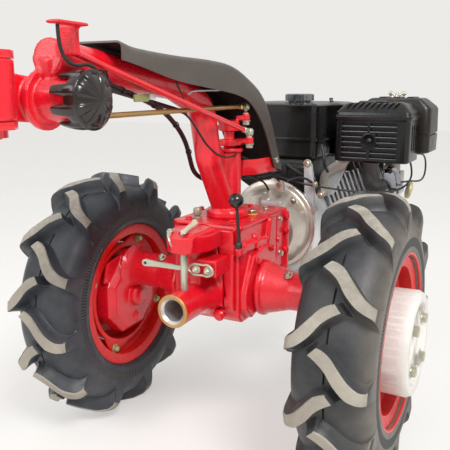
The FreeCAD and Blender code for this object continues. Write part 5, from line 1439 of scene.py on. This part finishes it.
# Cords: control points in millimetres, and the whole length of each in metres
THROTTLE_ROUTE = (
    (40.3, -4, 634), (66, -5, 632), (98, -8, 620), (128, -12, 606), (158, -18, 591), (190, -27, 578), (218, -42, 566),
    (243, -68, 554), (262, -104, 545), (286, -142, 538), (306, -182, 532), (322, -222, 529), (344, -260, 529),
    (378, -290, 533), (420, -300, 542), (462, -301, 555), (492, -294, 574), (502, -286, 595), (504, -284, 614.7),
)
HARNESS_ROUTE = (
    (-570, -60, 855.7), (-570, -60, 826), (-548, -60, 807), (-512, -59, 813), (-478, -50, 801), (-442, -33, 784),
    (-401, -27, 775), (-340, -22, 763), (-295, -13, 753), (-249, -4, 740), (-204, 6, 722), (-157, 16, 697),
    (-118, 26, 668), (-88, 37, 636), (-58, 47, 606), (-15, 53, 585), (40, 48, 578), (100, 30, 577), (165, 10, 575),
    (235, 0, 572), (299.7, 0, 572),
)
THROTTLE_LENGTH, HARNESS_LENGTH = 0.67, 0.98
BREATHER_ROUTE = (
    (484, -309, 614), (530, -309, 610), (580, -309, 600), (608, -309, 578), (606, -309, 550), (570, -309, 536),
    (510, -307, 538), (455, -300, 546), (420, -285, 546),
)
COLUMN_ROUTE = (
    (-246, -5, 740), (-240, -28, 742), (-222, -40, 730), (-190, -42, 700), (-163, -42, 676), (-120, -41, 653),
    (-82, -40, 643), (-40, -36, 641), (4, -22, 641),
)
RELEASE_ROUTE = (
    (52, 24, 598), (80, 10, 597), (120, 0, 579), (160, -6, 566), (186, -10, 556), (198, -14, 536),
)
START_ROUTE = (
    (100, 24, 577), (130, -10, 586), (170, -28, 582), (205, -36, 562), (222, -44, 545),
)
# Name, route, thickness in millimetres and length in metres of the plain cables
CABLES = (
    ("breather_hose", BREATHER_ROUTE, 5, 0.346), ("column_cable", COLUMN_ROUTE, 4, 0.301),
    ("release_cable", RELEASE_ROUTE, 5, 0.168), ("start_cable", START_ROUTE, 4, 0.154),
)
# Radius of a strand and how far it runs from the bundle's middle, in metres, and the share
# of the bundle's length where the second and third strands begin
STRAND, STRAND_OUT, STRANDS_FROM = 0.0025, 0.0028, 0.19


def route(name, points, thick=0.0):
    """A smooth NURBS curve with the given control points, in millimetres."""
    line = bpy.data.curves.new(name, "CURVE")
    line.dimensions = "3D"
    line.resolution_u = 8
    spline = line.splines.new("NURBS")
    spline.points.add(len(points) - 1)
    for point, place in zip(spline.points, points):
        point.co = (*mm(*place), 1.0)
    spline.order_u = 3
    spline.use_endpoint_u = True
    line.bevel_depth = thick / 2000
    line.bevel_resolution = 3
    line.use_fill_caps = True
    piece = bpy.data.objects.new(name, line)
    bpy.context.scene.collection.objects.link(piece)
    return piece


def line_of(name, points):
    """The points that a route's NURBS curve runs through."""
    piece = route(name, points)
    bpy.context.view_layer.update()
    made = bpy.data.meshes.new_from_object(piece)
    path = [vertex.co.copy() for vertex in made.vertices]
    bpy.data.objects.remove(piece)
    return path


def cable(name, points, thick, length, lay="taut", node=None):
    """A round cable along its route, held at both ends."""
    piece = route(name, points, thick)
    piece.data.materials.append(look("black_plastic"))
    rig.ride(piece, "machine")
    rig.slot(piece, "black_plastic")
    if node:
        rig.replaces(piece, node)
    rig.cord(
        piece, exit=mm(*points[0]), length=length, diameter=thick / 1000, far_end="object", stiffness="medium", lay=lay,
    )


def harness():
    """Three cables side by side, twisted a little along the bundle, and the ties round them."""
    path = line_of("harness_line", HARNESS_ROUTE)
    ways = [(b - a).normalized() for a, b in zip(path, path[1:])]
    ways.append(ways[-1])
    across = ways[0].orthogonal().normalized()
    strands = [[], [], []]
    for index, (place, way) in enumerate(zip(path, ways)):
        across = (across - way * across.dot(way)).normalized()
        other = way.cross(across)
        for strand, points in enumerate(strands):
            if strand and index < STRANDS_FROM * len(path):
                continue
            turn = 2 * math.pi * strand / 3 + 0.02 * index
            points.append(place + (across * math.cos(turn) + other * math.sin(turn)) * STRAND_OUT)
    form = Form()
    for strand, points in enumerate(strands):
        form.look = strand % 2
        form.swept(points, STRAND, 10)
    piece = form.done("cable_bundle", ("black_plastic", "rubber"), "black_plastic", 60)
    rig.replaces(piece, "cable_harness")
    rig.cord(
        piece, exit=path[0], length=HARNESS_LENGTH, diameter=0.009, far_end="object", stiffness="medium",
        lay="hanging", path=path,
    )
    ties = Form()
    for share in (0.195, 0.29, 0.40, 0.52, 0.63, 0.86):
        index = round(share * (len(path) - 1))
        tie = [(0.0050, -0.0017), (0.0062, -0.0017), (0.0062, 0.0017), (0.0050, 0.0017)]
        ties.turned(tie, toward(path[index], ways[index]), 24, True)
    ties.done("bundle_ties", "black_plastic", "black_plastic", 40)


def cords():
    cable("throttle_line", THROTTLE_ROUTE, 5, THROTTLE_LENGTH, "hanging", "throttle_cable")
    harness()
    for row in CABLES:
        cable(*row)


# Floor and light
def floor():
    """A wide pale floor, seen by the camera and by mirrors as half its own light and half a plain backdrop."""
    mesh = bpy.data.meshes.new("floor")
    reach = 12
    corners = [(-reach, -reach, 0), (reach, -reach, 0), (reach, reach, 0), (-reach, reach, 0)]
    mesh.from_pydata(corners, [], [(0, 1, 2, 3)])
    piece = new_object("floor", mesh)
    ground = Look("floor", 0.9)
    ground.paint(ground.mix(ground.noise(1.5, 3), (0.82, 0.80, 0.77), (0.86, 0.84, 0.81)))
    rays = ground.add("ShaderNodeLightPath").outputs
    mirrored_rays = ground.math("MAXIMUM", rays["Is Glossy Ray"], rays["Is Transmission Ray"])
    share = ground.math("MULTIPLY", ground.math("MAXIMUM", rays["Is Camera Ray"], mirrored_rays), 0.5)
    pale = ground.add("ShaderNodeEmission", {"Color": (0.93, 0.92, 0.90, 1.0), "Strength": 1.0}).outputs[0]
    shown = ground.add("ShaderNodeMixShader", {0: share, 1: ground.shader.outputs[0], 2: pale}).outputs[0]
    ground.tree.links.new(shown, ground.tree.nodes["Material Output"].inputs["Surface"])
    mesh.materials.append(ground.material)
    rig.stage(piece)


def world():
    """A pale surround, brighter above than at the horizon, and plain where the camera sees it."""
    scene = bpy.context.scene
    scene.world = bpy.data.worlds.new("world")
    scene.world.use_nodes = True
    tree = scene.world.node_tree
    place = add_node(tree, "ShaderNodeTexCoord").outputs["Generated"]
    height = add_node(tree, "ShaderNodeSeparateXYZ", {0: place}).outputs[2]
    ramp = add_node(tree, "ShaderNodeValToRGB", {0: height})
    stops = ramp.color_ramp.elements
    stops[0].position, stops[0].color = 0.0, (0.62, 0.61, 0.60, 1)
    stops[1].position, stops[1].color = 0.75, (1.0, 1.0, 1.0, 1)
    back = tree.nodes["Background"]
    tree.links.new(ramp.outputs[0], back.inputs["Color"])
    back.inputs["Strength"].default_value = 0.85
    pale = add_node(tree, "ShaderNodeBackground", {"Color": (0.84, 0.83, 0.81, 1)}).outputs[0]
    rays = add_node(tree, "ShaderNodeLightPath").outputs
    seen = {0: rays["Is Camera Ray"], 1: rays["Is Transmission Ray"]}
    share = add_node(tree, "ShaderNodeMath", seen, operation="MAXIMUM").outputs[0]
    mix = add_node(tree, "ShaderNodeMixShader", {0: share, 1: back.outputs[0], 2: pale}).outputs[0]
    tree.links.new(mix, tree.nodes["World Output"].inputs[0])


def lamp(name, place, target, size, power):
    """A round lamp that faces its target."""
    light = bpy.data.lights.new(name, "AREA")
    light.shape = "DISK"
    light.size = size
    light.energy = power
    piece = new_object(name, light)
    piece.location = place
    piece.rotation_euler = (Vector(target) - Vector(place)).to_track_quat("-Z", "Y").to_euler()


camera()
cords()
dress_nodes()
castings()
wheels()
case_details()
hitch()
gear_lever()
flares()
guard()
tank()
cleaner()
engine_details()
bell_details()
starter()
shield()
rods()
clamp_knob()
column_details()
floor()
world()
lamp("key", (-1.4, -2.0, 3.2), (0.2, 0.0, 0.4), 1.3, 122)
lamp("fill", (-2.6, 1.6, 2.2), (0.1, 0.0, 0.5), 2.2, 45)

with open("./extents.json", "w") as out:
    out.write(repr([[list(corner) for corner in cad_box], [list(corner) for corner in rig.bounds()]]))
